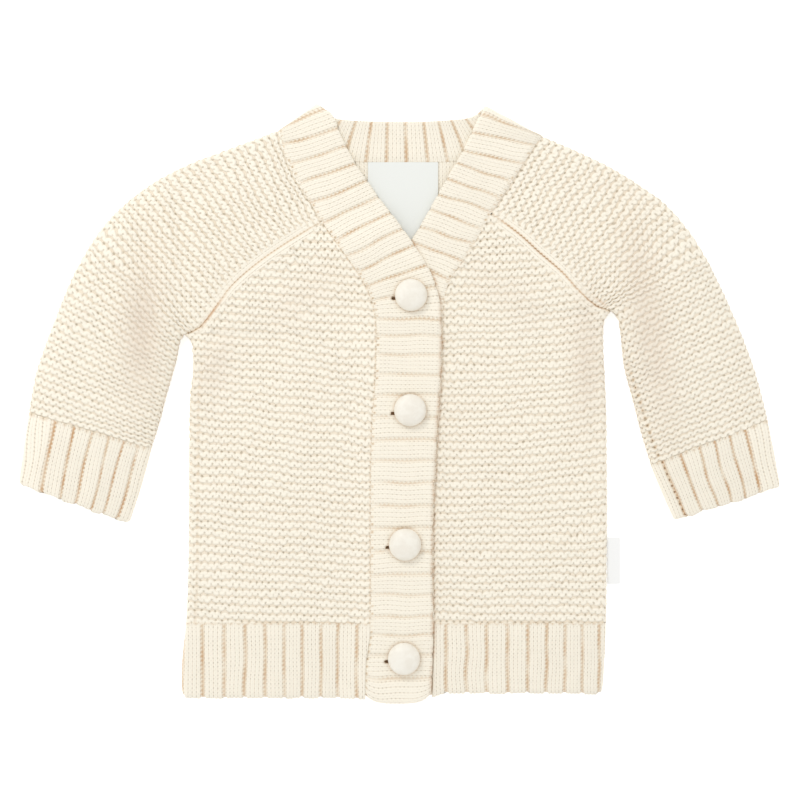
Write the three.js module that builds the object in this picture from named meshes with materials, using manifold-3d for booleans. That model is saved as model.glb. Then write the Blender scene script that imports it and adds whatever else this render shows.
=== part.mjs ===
// A baby's raglan cardigan in chunky cotton knit, buttoned and laid flat on its back.
// Millimetres. X runs from the wearer's right sleeve (-X) to the left one (+X), Y runs up to the neck,
// Z is up, and the cloth of the back rests on Z = 0. The origin is under the middle of the garment.
import * as THREE from 'three';
import Module from 'manifold-3d';

const wasm = await Module();
wasm.setup();

// Cloth and seams
const WALL = 2.6; // thickness of the knitted cloth
const SEAM = 0.3; // gap between two pieces at a seam
const LAYER_GAP = 1.0; // air between the back and the fronts where they lie on each other
const RADIUS_OUT = WALL + LAYER_GAP / 2; // outer radius of a folded edge
const RADIUS_IN = LAYER_GAP / 2; // inner radius of a folded edge
const MIDDLE = RADIUS_OUT; // height of the plane between the lower and the upper layer
const LIFT = WALL + SEAM; // how much higher the buttonhole band lies on the button band
const ROLL_ANGLES = [90, 55, 25]; // steps round a quarter fold, in degrees from the flat
const UNDERARM_FADE = 16; // length over which a rolled edge turns flat above the underarm

// Ribs
const RIB_PITCH = 10.7; // groove to groove, five knit columns
const RIB_HEIGHT = 0.9; // crest above groove
const INNER_RIB_HEIGHT = 0.7; // the same on the inside of the back neckband
const RIB_PROFILE = [
  { at: 0.0, height: 0.0 },
  { at: 0.17, height: 1.0 },
  { at: 0.83, height: 1.0 },
];

// Levels of the body, by Y
const HEM_BOTTOM = -164.6;
const HEM_TOP = -122.6;
const RIGHT_UNDERARM = { x: -119.6, y: 38.0 };
const LEFT_UNDERARM = { x: 118.4, y: 51.0 };

// Sides of the body, then the front raglan seams above the underarms
const RIGHT_EDGE = [
  { y: -165, x: -120.8 },
  { y: -145, x: -120.9 },
  { y: -122, x: -118.8 },
  { y: -90, x: -118.2 },
  { y: 0, x: -118.2 },
  { y: 38, x: -119.6 },
];
const LEFT_EDGE = [
  { y: -165, x: 114.4 },
  { y: -145, x: 116.0 },
  { y: -122, x: 116.8 },
  { y: -60, x: 117.2 },
  { y: 0, x: 117.0 },
  { y: 51, x: 118.4 },
];
const RIGHT_RAGLAN = [
  { y: 38, x: -119.6 },
  { y: 42, x: -111.6 },
  { y: 56, x: -100.8 },
  { y: 66, x: -93.0 },
  { y: 75, x: -83.0 },
  { y: 86, x: -68.0 },
  { y: 101.4, x: -43.4 },
];
const LEFT_RAGLAN = [
  { y: 51, x: 118.4 },
  { y: 54, x: 110.0 },
  { y: 63, x: 99.6 },
  { y: 73, x: 90.6 },
  { y: 84, x: 78.0 },
  { y: 94, x: 67.0 },
  { y: 105.8, x: 51.2 },
];

// Back of the neck, where the back raglan seams end
const BACK_NECK_RIGHT = { x: -48.0, y: 138.4 };
const BACK_NECK_LEFT = { x: 52.0, y: 138.4 };
const BACK_NECK_SAG = 2.6; // how much lower the middle of the back neck seam lies

// Buttonhole band of the right front: from the shoulder fold down the neckline and the front edge
const BUTTONHOLE_BAND = [
  { seamX: -66.9, seamY: 152.3, freeX: -46.2, freeY: 167.0 },
  { seamX: -65.4, seamY: 143.2, freeX: -37.6, freeY: 160.6 },
  { seamX: -61.8, seamY: 133.8, freeX: -32.6, freeY: 149.0 },
  { seamX: -55.2, seamY: 121.6, freeX: -24.9, freeY: 134.0 },
  { seamX: -49.6, seamY: 111.4, freeX: -18.4, freeY: 124.6 },
  { seamX: -43.4, seamY: 101.4, freeX: -12.6, freeY: 116.0 },
  { seamX: -36.4, seamY: 91.4, freeX: -5.9, freeY: 107.2 },
  { seamX: -29.6, seamY: 81.6, freeX: 0.8, freeY: 98.2 },
  { seamX: -22.8, seamY: 72.0, freeX: 8.2, freeY: 87.6 },
  { seamX: -17.2, seamY: 62.0, freeX: 16.6, freeY: 74.0 },
  { seamX: -13.8, seamY: 51.0, freeX: 21.8, freeY: 59.0 },
  { seamX: -12.8, seamY: 39.0, freeX: 23.2, freeY: 43.0 },
  { seamX: -13.2, seamY: 17.0, freeX: 22.8, freeY: 18.0 },
  { seamX: -15.4, seamY: -16.0, freeX: 20.8, freeY: -16.0 },
  { seamX: -16.0, seamY: -54.0, freeX: 18.8, freeY: -54.0 },
  { seamX: -16.0, seamY: -90.0, freeX: 18.2, freeY: -90.0 },
  { seamX: -16.4, seamY: -126.0, freeX: 18.6, freeY: -126.0 },
  { seamX: -19.0, seamY: -146.0, freeX: 18.2, freeY: -146.0 },
  { seamX: -19.3, seamY: -161.6, freeX: 17.4, freeY: -161.6 },
];

// Button band of the left front: from the shoulder fold, then under the buttonhole band
const BUTTON_BAND = [
  { seamX: 79.2, seamY: 149.0, freeX: 47.9, freeY: 166.0 },
  { seamX: 74.6, seamY: 141.9, freeX: 43.4, freeY: 157.6 },
  { seamX: 70.0, seamY: 134.8, freeX: 39.2, freeY: 148.6 },
  { seamX: 65.4, seamY: 127.6, freeX: 34.4, freeY: 138.8 },
  { seamX: 58.4, seamY: 116.8, freeX: 27.4, freeY: 126.8 },
  { seamX: 51.2, seamY: 105.8, freeX: 21.0, freeY: 115.4 },
  { seamX: 46.0, seamY: 96.6, freeX: 15.8, freeY: 106.0 },
  { seamX: 40.6, seamY: 87.0, freeX: 10.4, freeY: 96.6 },
  { seamX: 34.6, seamY: 78.4, freeX: 3.6, freeY: 85.6 },
  { seamX: 28.6, seamY: 69.4, freeX: -3.6, freeY: 72.4 },
  { seamX: 25.0, seamY: 58.6, freeX: -8.6, freeY: 58.6 },
  { seamX: 24.0, seamY: 43.0, freeX: -10.2, freeY: 43.0 },
  { seamX: 23.6, seamY: 18.0, freeX: -10.6, freeY: 18.0 },
  { seamX: 21.6, seamY: -16.0, freeX: -12.4, freeY: -16.0 },
  { seamX: 19.6, seamY: -54.0, freeX: -13.6, freeY: -54.0 },
  { seamX: 19.0, seamY: -90.0, freeX: -13.8, freeY: -90.0 },
  { seamX: 19.4, seamY: -126.0, freeX: -13.6, freeY: -126.0 },
  { seamX: 19.0, seamY: -146.0, freeX: -13.8, freeY: -146.0 },
  { seamX: 18.4, seamY: -162.6, freeX: -14.0, freeY: -162.6 },
];
const BAND_BULGE = 5.4; // how far the middle of the buttonhole band's lower end bellies out

// Sleeves, from the cuff to the neck: the folded outer edge, the edge on the front and on the back
const RIGHT_SLEEVE = [
  { outX: -207.0, outY: -5.6, frontX: -138.4, frontY: -25.6 },
  { outX: -202.6, outY: 17.4, frontX: -134.0, frontY: -12.2 },
  { outX: -194.4, outY: 41.0, frontX: -129.6, frontY: 4.6 },
  { outX: -184.0, outY: 67.2, frontX: -124.4, frontY: 23.0 },
  { outX: -173.4, outY: 87.0, frontX: -119.6, frontY: 38.0 },
  { outX: -163.4, outY: 100.8, frontX: -111.6, frontY: 42.0 },
  { outX: -150.8, outY: 113.2, frontX: -100.8, frontY: 56.0 },
  { outX: -134.8, outY: 124.4, frontX: -89.0, frontY: 69.8 },
  { outX: -117.4, outY: 133.4, frontX: -76.4, frontY: 79.8 },
  { outX: -99.6, outY: 140.2, frontX: -65.2, frontY: 88.0 },
  { outX: -82.6, outY: 146.4, frontX: -54.4, frontY: 94.8 },
  { outX: -66.9, outY: 152.3, frontX: -43.4, frontY: 101.4 },
];
const LEFT_SLEEVE = [
  { outX: 205.4, outY: -9.6, frontX: 140.2, frontY: -34.6 },
  { outX: 200.6, outY: 10.4, frontX: 135.4, frontY: -19.4 },
  { outX: 193.6, outY: 31.4, frontX: 130.2, frontY: 0.6 },
  { outX: 183.6, outY: 55.4, frontX: 125.0, frontY: 21.0 },
  { outX: 172.4, outY: 78.8, frontX: 118.4, frontY: 51.0 },
  { outX: 161.4, outY: 96.2, frontX: 110.0, frontY: 54.0 },
  { outX: 148.0, outY: 111.4, frontX: 101.6, frontY: 61.0 },
  { outX: 133.0, outY: 122.2, frontX: 91.8, frontY: 71.6 },
  { outX: 119.0, outY: 130.8, frontX: 81.6, frontY: 81.2 },
  { outX: 105.0, outY: 137.8, frontX: 71.6, frontY: 90.0 },
  { outX: 91.6, outY: 143.8, frontX: 61.6, frontY: 98.4 },
  { outX: 79.2, outY: 149.0, frontX: 51.2, frontY: 105.8 },
];
const UNDERARM_ROW = 4; // the row of both sleeve tables that meets the underarm

// Cuffs, from the sleeve to the wrist
const RIGHT_CUFF = [
  { outX: -207.0, outY: -5.9, frontX: -138.5, frontY: -25.9 },
  { outX: -209.8, outY: -25.6, frontX: -144.2, frontY: -46.8 },
  { outX: -212.5, outY: -45.0, frontX: -150.8, frontY: -67.0 },
];
const LEFT_CUFF = [
  { outX: 205.5, outY: -9.9, frontX: 140.3, frontY: -34.9 },
  { outX: 209.2, outY: -28.2, frontX: 146.6, frontY: -50.4 },
  { outX: 212.5, outY: -46.6, frontX: 153.4, frontY: -65.4 },
];
const CUFF_RIBS = 6;

// Broad soft folds of the upper layer: a ridge with a height, or a trough with a negative one
const FOLDS = [
  { x: -152, y: 74, turn: 62, length: 34, width: 13, height: -0.9 },
  { x: 142, y: 66, turn: 118, length: 34, width: 13, height: -0.9 },
  { x: -96, y: 30, turn: 62, length: 26, width: 9, height: 1.0 },
  { x: 99, y: 24, turn: 96, length: 44, width: 9, height: 1.1 },
  { x: -62, y: -40, turn: 84, length: 60, width: 26, height: 0.8 },
  { x: 66, y: -60, turn: 94, length: 60, width: 26, height: 0.8 },
  { x: -50, y: 52, turn: 40, length: 28, width: 14, height: 0.8 },
  { x: 58, y: 54, turn: 138, length: 28, width: 14, height: 0.8 },
];
const SLEEVE_BODY = 1.7; // how much the top of a sleeve stands up in its middle
const EDGE_FADE = 12; // distance from a rolled edge over which folds die out

// Buttons and labels
const BUTTON_RADIUS = 8.9;
const BUTTON_HEIGHT = 6.2;
const SHANK_RADIUS = 0.9;
const BUTTONS = [
  { x: 6.4, y: 59.9 },
  { x: 5.9, y: -3.9 },
  { x: 3.1, y: -78.4 },
  { x: 2.5, y: -141.7 },
];
const BUTTONHOLE = { left: 10.6, right: 1.3, halfWidth: 1.3 };
const NECK_LABEL = { left: -17.6, right: 21.6, top: 134.4, bottom: 84.0, thick: 0.4 };
const SIDE_LABEL = { top: -75.0, bottom: -101.0, reach: 6.0, thick: 0.8 };

// Small helpers
const mix = (a, b, t) => a + (b - a) * t;
const clamp01 = (t) => Math.min(1, Math.max(0, t));
const ease = (t) => clamp01(t) ** 2 * (3 - 2 * clamp01(t));
const radians = (degrees) => (degrees * Math.PI) / 180;

// A smooth curve through the rows of a table: every column as a function of one rising key.
function throughRows(rows, key) {
  const columns = Object.keys(rows[0]);
  const slopeAt = (name, i) => {
    const before = rows[Math.max(0, i - 1)];
    const after = rows[Math.min(rows.length - 1, i + 1)];
    return (after[name] - before[name]) / (after[key] - before[key]);
  };
  return (value) => {
    let i = 0;
    while (i < rows.length - 2 && value > rows[i + 1][key]) i += 1;
    const low = rows[i];
    const high = rows[i + 1];
    const span = high[key] - low[key];
    const t = (value - low[key]) / span;
    const found = {};
    for (const name of columns) {
      const a = low[name];
      const b = high[name];
      const ma = slopeAt(name, i) * span;
      const mb = slopeAt(name, i + 1) * span;
      const bent = (2 * t ** 3 - 3 * t ** 2 + 1) * a + (t ** 3 - 2 * t ** 2 + t) * ma
        + (3 * t ** 2 - 2 * t ** 3) * b + (t ** 3 - t ** 2) * mb;
      found[name] = t < 0 ? a + (ma * t) : t > 1 ? b + mb * (t - 1) : bent;
    }
    return found;
  };
}

const rightEdge = throughRows(RIGHT_EDGE, 'y');
const leftEdge = throughRows(LEFT_EDGE, 'y');
const rightRaglan = throughRows(RIGHT_RAGLAN, 'y');
const leftRaglan = throughRows(LEFT_RAGLAN, 'y');

// The band tables get a column with the distance from the shoulder along the middle of the band.
function alongBand(rows) {
  let along = 0;
  const measured = rows.map((row, i) => {
    if (i > 0) {
      const last = rows[i - 1];
      const dx = (row.seamX + row.freeX - last.seamX - last.freeX) / 2;
      const dy = (row.seamY + row.freeY - last.seamY - last.freeY) / 2;
      along += Math.hypot(dx, dy);
    }
    return { ...row, along };
  });
  return { at: throughRows(measured, 'along'), length: along };
}

const buttonholeBand = alongBand(BUTTONHOLE_BAND);
const buttonBand = alongBand(BUTTON_BAND);

// Where the seam edge of a band crosses a level, found by halving the stretch that holds it.
function bandSeamX(band, y) {
  let above = 0;
  let below = band.length;
  for (let step = 0; step < 40; step += 1) {
    const middle = (above + below) / 2;
    if (band.at(middle).seamY > y) above = middle;
    else below = middle;
  }
  return band.at(above).seamX;
}

// The seam edge of a band next to a sleeve, from the raglan seam (0) to the shoulder fold (1).
function shoulderSeam(band, raglanTopY) {
  let top = 0;
  let bottom = band.length;
  for (let step = 0; step < 40; step += 1) {
    const middle = (top + bottom) / 2;
    if (band.at(middle).seamY > raglanTopY) top = middle;
    else bottom = middle;
  }
  return (share) => {
    const row = band.at(mix(top, 0, share));
    return { x: row.seamX, y: row.seamY };
  };
}

// Height that the folds add to the upper layer at a place.
function foldHeight(x, y) {
  let sum = 0;
  for (const fold of FOLDS) {
    const turn = radians(fold.turn);
    const along = (x - fold.x) * Math.cos(turn) + (y - fold.y) * Math.sin(turn);
    const across = (y - fold.y) * Math.cos(turn) - (x - fold.x) * Math.sin(turn);
    sum += fold.height * Math.exp(-((along / fold.length) ** 2) - (across / fold.width) ** 2);
  }
  return Math.max(0, sum + 0.9 * ease((Math.abs(x) - 118) / 14)) * ease((Math.abs(x - 3) - 24) / 16);
}

// How far the right front rises to the buttonhole band, by the Y of the band's seam.
const liftAt = (seamY) => LIFT * ease((100 - seamY) / 18);

// Raised knit ribs: the share of the rib height at a distance, counted in ribs.
function ribStations(count) {
  const stations = [];
  for (let rib = 0; rib < count; rib += 1) {
    for (const step of RIB_PROFILE) stations.push({ at: (rib + step.at) / count, height: step.height });
  }
  stations.push({ at: 1, height: 0 });
  return stations;
}

// A closed wall between two grids of points, with rims round all four sides.
function wall(outer, inner) {
  const rows = outer.length;
  const columns = outer[0].length;
  const positions = [...outer.flat(2), ...inner.flat(2)];
  const out = (r, c) => r * columns + c;
  const inn = (r, c) => rows * columns + r * columns + c;
  const faces = [];
  const quad = (a, b, c, d) => faces.push(a, b, c, a, c, d);
  for (let r = 0; r < rows - 1; r += 1) {
    for (let c = 0; c < columns - 1; c += 1) {
      quad(out(r, c), out(r, c + 1), out(r + 1, c + 1), out(r + 1, c));
      quad(inn(r, c), inn(r + 1, c), inn(r + 1, c + 1), inn(r, c + 1));
    }
    quad(out(r + 1, 0), inn(r + 1, 0), inn(r, 0), out(r, 0));
    quad(out(r, columns - 1), inn(r, columns - 1), inn(r + 1, columns - 1), out(r + 1, columns - 1));
  }
  for (let c = 0; c < columns - 1; c += 1) {
    quad(out(0, c), inn(0, c), inn(0, c + 1), out(0, c + 1));
    quad(out(rows - 1, c + 1), inn(rows - 1, c + 1), inn(rows - 1, c), out(rows - 1, c));
  }
  return facingOut(positions, faces);
}

// A geometry whose faces point out of the volume that they enclose.
function facingOut(positions, faces) {
  let volume = 0;
  const point = (i) => new THREE.Vector3().fromArray(positions, 3 * i);
  for (let f = 0; f < faces.length; f += 3) {
    volume += point(faces[f]).dot(point(faces[f + 1]).cross(point(faces[f + 2])));
  }
  const index = volume > 0 ? faces : faces.slice().reverse();
  const geometry = new THREE.BufferGeometry();
  geometry.setAttribute('position', new THREE.Float32BufferAttribute(positions, 3));
  geometry.setIndex(index);
  geometry.computeVertexNormals();
  return geometry;
}

// Stations across a section, from its first edge to its second. A rolled edge has steps of its own.
function stationsAcross(flat, { firstRoll = false, secondRoll = false } = {}) {
  const rolled = (edge) => ROLL_ANGLES.map((angle) => ({ edge, angle: radians(angle), height: 0 }));
  const middle = flat.map((step) => ({ edge: 'none', ...step }));
  const first = firstRoll ? rolled('first') : [];
  const second = secondRoll ? rolled('second').reverse() : [];
  return { list: [...first, ...middle, ...second], firstRoll, secondRoll };
}

const evenly = (count) => Array.from({ length: count + 1 }, (_, i) => ({ at: i / count, height: 0 }));

// A point of the cloth. side is +1 for the upper layer and -1 for the lower one, and face is 'out' or 'in'.
function clothPoint(section, station, stations, side, face) {
  const { a, b } = section;
  const length = Math.hypot(b.x - a.x, b.y - a.y);
  const ex = (b.x - a.x) / length;
  const ey = (b.y - a.y) / length;
  const radius = face === 'out' ? RADIUS_OUT : RADIUS_IN;
  const rollA = section.rollA ?? 1;
  const rollB = section.rollB ?? 1;
  const startFlat = stations.firstRoll ? RADIUS_OUT : 0;
  const endFlat = stations.secondRoll ? RADIUS_OUT : 0;
  let distance = mix(startFlat, length - endFlat, station.at ?? 0);
  let height = radius;
  if (station.edge !== 'none') {
    const roll = station.edge === 'first' ? rollA : rollB;
    const half = section.closed && station.edge === 'second' ? 0 : SEAM / 2;
    const rolledHeight = Math.max(radius * Math.cos(station.angle), half);
    const inward = RADIUS_OUT - Math.sqrt(radius ** 2 - rolledHeight ** 2);
    const flatInward = RADIUS_OUT * (1 - Math.sin(station.angle));
    const fromEdge = mix(flatInward, inward, roll);
    distance = station.edge === 'first' ? fromEdge : length - fromEdge;
    height = mix(radius, rolledHeight, roll);
  }
  const share = distance / length;
  const bow = (section.bow ?? 0) * 4 * share * (1 - share);
  const straight = { x: a.x + ex * distance - ey * bow, y: a.y + ey * distance + ex * bow };
  const { x, y } = section.path ? section.path(share) : straight;
  let z = MIDDLE + side * height;
  if (side > 0) {
    const fadeA = stations.firstRoll ? 1 - rollA * (1 - ease(distance / EDGE_FADE)) : 1;
    const fadeB = stations.secondRoll ? 1 - rollB * (1 - ease((length - distance) / EDGE_FADE)) : 1;
    z += foldHeight(x, y) * fadeA * fadeB;
    z += (section.body ?? 0) * 4 * share * (1 - share) * fadeA * fadeB;
    z += section.lift ? section.lift(length - distance) : 0;
  }
  if (face === 'out') z += side * RIB_HEIGHT * station.height * (section.ribs ?? 0);
  if (face === 'in' && side < 0) z += RIB_HEIGHT * station.height * (section.innerRibs ?? 0);
  return [x, y, z];
}

// A piece of one layer, through its sections.
function layerPiece(sections, stations, side) {
  const grid = (face) => sections.map((section) => stations.list
    .map((station) => clothPoint(section, station, stations, side, face)));
  return wall(grid('out'), grid('in'));
}

// Distance above the underarm turns the rolled side edge into a flat raglan edge.
const sideRoll = (y, underarm) => 1 - ease((y - underarm.y) / UNDERARM_FADE);

// Evenly spaced levels from one Y to another.
function levelsBetween(from, to, count) {
  return Array.from({ length: count + 1 }, (_, i) => mix(from, to, i / count));
}

// A sleeve table with a row halfway between each two rows above the underarm.
function finerAboveUnderarm(rows) {
  const numbered = rows.map((row, i) => ({ ...row, number: i }));
  const at = throughRows(numbered, 'number');
  const halves = 2 * (rows.length - 1 - UNDERARM_ROW);
  const above = Array.from({ length: halves }, (_, i) => at(UNDERARM_ROW + (i + 1) / 2));
  return [...numbered.slice(0, UNDERARM_ROW + 1), ...above];
}

const rightSleeveRows = finerAboveUnderarm(RIGHT_SLEEVE);
const leftSleeveRows = finerAboveUnderarm(LEFT_SLEEVE);

const HALF_SEAM = SEAM / 2;
const TIP_WIDTH = 1.2; // least width of a front, at its top corner

// The gap beside a band, measured along X, from the slope of the band's seam edge.
function bandGap(band, y) {
  const step = 0.5;
  const slope = (bandSeamX(band, y + step) - bandSeamX(band, y - step)) / (2 * step);
  return 1.5 * SEAM * Math.hypot(1, slope);
}

// Half of a slanting seam's gap, measured along X, from the slope of its edge function.
function slantedHalf(edge, y) {
  const step = 0.5;
  const slope = (edge(y + step).x - edge(y - step).x) / (2 * step);
  return 1.8 * HALF_SEAM * Math.hypot(1, slope);
}

const SLANT_SEAM = 0.25; // half of the level gap across a back raglan seam

function rightFrontSection(y) {
  const underarm = RIGHT_UNDERARM;
  const outer = y <= underarm.y ? rightEdge(y).x : rightRaglan(y).x + slantedHalf(rightRaglan, y);
  const seam = bandSeamX(buttonholeBand, y) - bandGap(buttonholeBand, y);
  return {
    a: { x: outer, y },
    b: { x: Math.max(seam, outer + TIP_WIDTH), y },
    rollA: sideRoll(y, underarm),
    lift: (fromSeam) => liftAt(y) * (1 - ease(fromSeam / 14)),
  };
}

function leftFrontSection(y) {
  const underarm = LEFT_UNDERARM;
  const outer = y <= underarm.y ? leftEdge(y).x : leftRaglan(y).x - slantedHalf(leftRaglan, y);
  const seam = bandSeamX(buttonBand, y) + bandGap(buttonBand, y);
  return { a: { x: outer, y }, b: { x: Math.min(seam, outer - TIP_WIDTH), y }, rollA: sideRoll(y, underarm) };
}

const FRONT_COLUMNS = stationsAcross(evenly(7), { firstRoll: true });
const NECK_TIP = 2.4; // the top corner of a front stops this much below the neckband's raglan corner

// A front has a row at each row of its sleeve, so that both sides of the raglan seam bend alike.
function front(sectionAt, sleeveRows) {
  const shared = sleeveRows.slice(UNDERARM_ROW).map((row) => row.frontY);
  shared[shared.length - 1] -= NECK_TIP;
  const low = levelsBetween(HEM_TOP + HALF_SEAM, shared[0], 6).slice(0, -1);
  return layerPiece([...low, ...shared].map(sectionAt), FRONT_COLUMNS, 1);
}

// The ribbed hem of a front: the ribs are counted from the side to the band.
function frontHem(sectionAt) {
  const levels = levelsBetween(HEM_BOTTOM, HEM_TOP - HALF_SEAM, 4);
  const sections = levels.map((y, i) => ({ ...sectionAt(y), ribs: i === 0 ? 0.4 : 1 }));
  const width = Math.abs(sections[0].b.x - sections[0].a.x) - RADIUS_OUT;
  const stations = stationsAcross(ribStations(Math.round(width / RIB_PITCH)), { firstRoll: true });
  return layerPiece(sections, stations, 1);
}

// The back: side edges rolled up to the fronts, then the back raglan seams to the neck.
function backRaglan(underarm, neck, y) {
  const t = (y - underarm.y) / (neck.y - underarm.y);
  return mix(underarm.x, neck.x, t) + Math.sign(neck.x) * 6 * t * (1 - t);
}

function backSection(y) {
  const rightSeam = backRaglan(RIGHT_UNDERARM, BACK_NECK_RIGHT, y) + SLANT_SEAM;
  const leftSeam = backRaglan(LEFT_UNDERARM, BACK_NECK_LEFT, y) - SLANT_SEAM;
  return {
    a: { x: y <= RIGHT_UNDERARM.y ? rightEdge(y).x : rightSeam, y },
    b: { x: y <= LEFT_UNDERARM.y ? leftEdge(y).x : leftSeam, y },
    rollA: sideRoll(y, RIGHT_UNDERARM),
    rollB: sideRoll(y, LEFT_UNDERARM),
  };
}

const BACK_COLUMNS = stationsAcross(evenly(8), { firstRoll: true, secondRoll: true });

function back() {
  const levels = [
    ...levelsBetween(HEM_TOP + HALF_SEAM, RIGHT_UNDERARM.y, 4),
    ...levelsBetween(RIGHT_UNDERARM.y, LEFT_UNDERARM.y, 2).slice(1),
    ...levelsBetween(LEFT_UNDERARM.y, BACK_NECK_RIGHT.y - HALF_SEAM, 6).slice(1),
  ];
  const sections = levels.map(backSection);
  sections[sections.length - 1].bow = -BACK_NECK_SAG;
  return layerPiece(sections, BACK_COLUMNS, -1);
}

function backHem() {
  const sections = levelsBetween(HEM_BOTTOM, HEM_TOP - HALF_SEAM, 2).map(backSection);
  return layerPiece(sections, stationsAcross(evenly(10), { firstRoll: true, secondRoll: true }), -1);
}

// A sleeve or cuff: one piece of cloth from the front seam round the folded outer edge to the back seam.
function foldedTube(rows, upperFlat, lowerFlat) {
  const upper = stationsAcross(upperFlat, { firstRoll: true, secondRoll: true });
  const lower = stationsAcross(lowerFlat, { firstRoll: true, secondRoll: true });
  const ring = (row, face) => {
    const top = upper.list.map((station) => clothPoint(row.upper, station, upper, 1, face));
    const under = lower.list.map((station) => clothPoint(row.lower, station, lower, -1, face));
    return [...top, ...under.reverse().slice(1)];
  };
  return wall(rows.map((row) => ring(row, 'out')), rows.map((row) => ring(row, 'in')));
}

// The rows of a sleeve: both inner edges run together below the underarm, then up the raglan seams.
function sleeveSections({ rows, underarm, neck, raglan, band }) {
  const gap = Math.sign(neck.x) * SLANT_SEAM;
  const last = rows.length - 1;
  return rows.map((row, i) => {
    const above = clamp01((row.number - UNDERARM_ROW) / (rows[last].number - UNDERARM_ROW));
    const backY = above > 0 ? mix(underarm.y, neck.y, above) : row.frontY;
    const backX = above > 0 ? backRaglan(underarm, neck, backY) : row.frontX;
    const frontGap = Math.sign(neck.x) * slantedHalf(raglan, Math.max(row.frontY, underarm.y + 0.5));
    const frontX = above > 0 ? raglan(row.frontY).x + frontGap : row.frontX + gap;
    const topSeam = shoulderSeam(band, rows[last].frontY);
    const roll = 1 - ease((row.frontY - underarm.y) / UNDERARM_FADE);
    const backRoll = 1 - ease((backY - underarm.y) / UNDERARM_FADE);
    const out = { x: row.outX, y: row.outY };
    const progress = row.number / rows[last].number;
    const ends = 4 * progress * (1 - progress);
    const besideBand = (share) => {
      const p = topSeam(share);
      return { x: p.x + gap * 1.4, y: p.y };
    };
    return {
      upper: {
        a: { x: frontX, y: row.frontY },
        b: out,
        rollA: above > 0 ? roll : 1,
        closed: true,
        body: SLEEVE_BODY * ends,
        path: i === last ? besideBand : undefined,
      },
      lower: { a: { x: backX + gap, y: backY }, b: out, rollA: above > 0 ? backRoll : 1, closed: true },
    };
  });
}

const SLEEVE_COLUMNS = 7;
const SLEEVE_BACK_COLUMNS = 3;

// The lower layer's last row stops just short of the back neckband.
function shortOfNeckband(sections) {
  const { a, b } = sections[sections.length - 1].lower;
  const before = sections[sections.length - 2].lower;
  for (const [end, behind] of [[a, before.a], [b, before.b]]) {
    const length = Math.hypot(behind.x - end.x, behind.y - end.y);
    end.x += ((behind.x - end.x) * SEAM) / length;
    end.y += ((behind.y - end.y) * SEAM) / length;
  }
  return sections;
}

function sleeve(shape) {
  const sections = shortOfNeckband(sleeveSections(shape));
  return foldedTube(sections, evenly(SLEEVE_COLUMNS), evenly(SLEEVE_BACK_COLUMNS));
}

function cuff(rows) {
  const sections = rows.map((row, i) => {
    const edges = { a: { x: row.frontX, y: row.frontY }, b: { x: row.outX, y: row.outY }, closed: true };
    return { upper: { ...edges, ribs: i === rows.length - 1 ? 0.5 : 1 }, lower: edges };
  });
  return foldedTube(sections, ribStations(CUFF_RIBS), evenly(3));
}

// A band lies along its table. Its first end is rolled down at the shoulder fold.
function bandPiece(band, distances, options) {
  const { columns, side, liftOf, bulge } = options;
  const grid = (face) => distances.map((step) => {
    const radius = face === 'out' ? RADIUS_OUT : RADIUS_IN;
    let along = step.along;
    let height = radius;
    if (step.angle !== undefined) {
      height = Math.max(radius * Math.cos(step.angle), SEAM / 2);
      along = RADIUS_OUT - Math.sqrt(radius ** 2 - height ** 2);
      along = step.fromEnd ? band.length - along : along;
    }
    const row = band.at(along);
    const ribs = face === options.ribFace ? options.ribHeight * step.height : 0;
    return Array.from({ length: columns + 1 }, (_, c) => {
      const t = c / columns;
      const belly = bulge * (1 - (2 * t - 1) ** 4) * ease((along - band.length + 14) / 14);
      const x = mix(row.seamX, row.freeX, t);
      const y = mix(row.seamY, row.freeY, t) - belly;
      const edge = t === 0 || t === 1 ? 0.4 : 1;
      const lifted = side > 0 ? liftOf(row.seamY) : 0;
      const rib = ribs * edge * (face === 'out' ? side : 1);
      const fold = side > 0 ? foldHeight(x, y) : 0;
      return [x, y, MIDDLE + side * height + lifted + fold + rib];
    });
  });
  return wall(grid('out'), grid('in'));
}

const rollDistances = (fromEnd) => {
  const steps = ROLL_ANGLES.map((angle) => ({ angle: radians(angle), height: 0, fromEnd }));
  return fromEnd ? steps.reverse() : steps;
};

// Ribs from one distance to another along a band.
function ribDistances(from, to) {
  const count = Math.round((to - from) / RIB_PITCH);
  return ribStations(count).map((step) => ({ along: mix(from, to, step.at), height: step.height }));
}

function buttonholeBandPiece() {
  const distances = [...rollDistances(false), ...ribDistances(RADIUS_OUT + 0.5, buttonholeBand.length)];
  const options = {
    columns: 3, side: 1, liftOf: liftAt, bulge: BAND_BULGE, ribFace: 'out', ribHeight: RIB_HEIGHT,
  };
  return bandPiece(buttonholeBand, distances, options);
}

const NECKLINE_LENGTH = 74; // the ribs of the button band end where the other band covers it
const HIDDEN_STEPS = 16; // closer together where the band bends at the foot of the V

function buttonBandPiece() {
  const hidden = Array.from({ length: HIDDEN_STEPS }, (_, i) => ({
    along: mix(NECKLINE_LENGTH, buttonBand.length, ((i + 1) / HIDDEN_STEPS) ** 1.6),
    height: 0,
  }));
  const ribs = ribDistances(RADIUS_OUT + 0.5, NECKLINE_LENGTH);
  const distances = [...rollDistances(false), ...ribs, ...hidden];
  const options = {
    columns: 3, side: 1, liftOf: () => 0, bulge: 0, ribFace: 'out', ribHeight: RIB_HEIGHT,
  };
  return bandPiece(buttonBand, distances, options);
}

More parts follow.
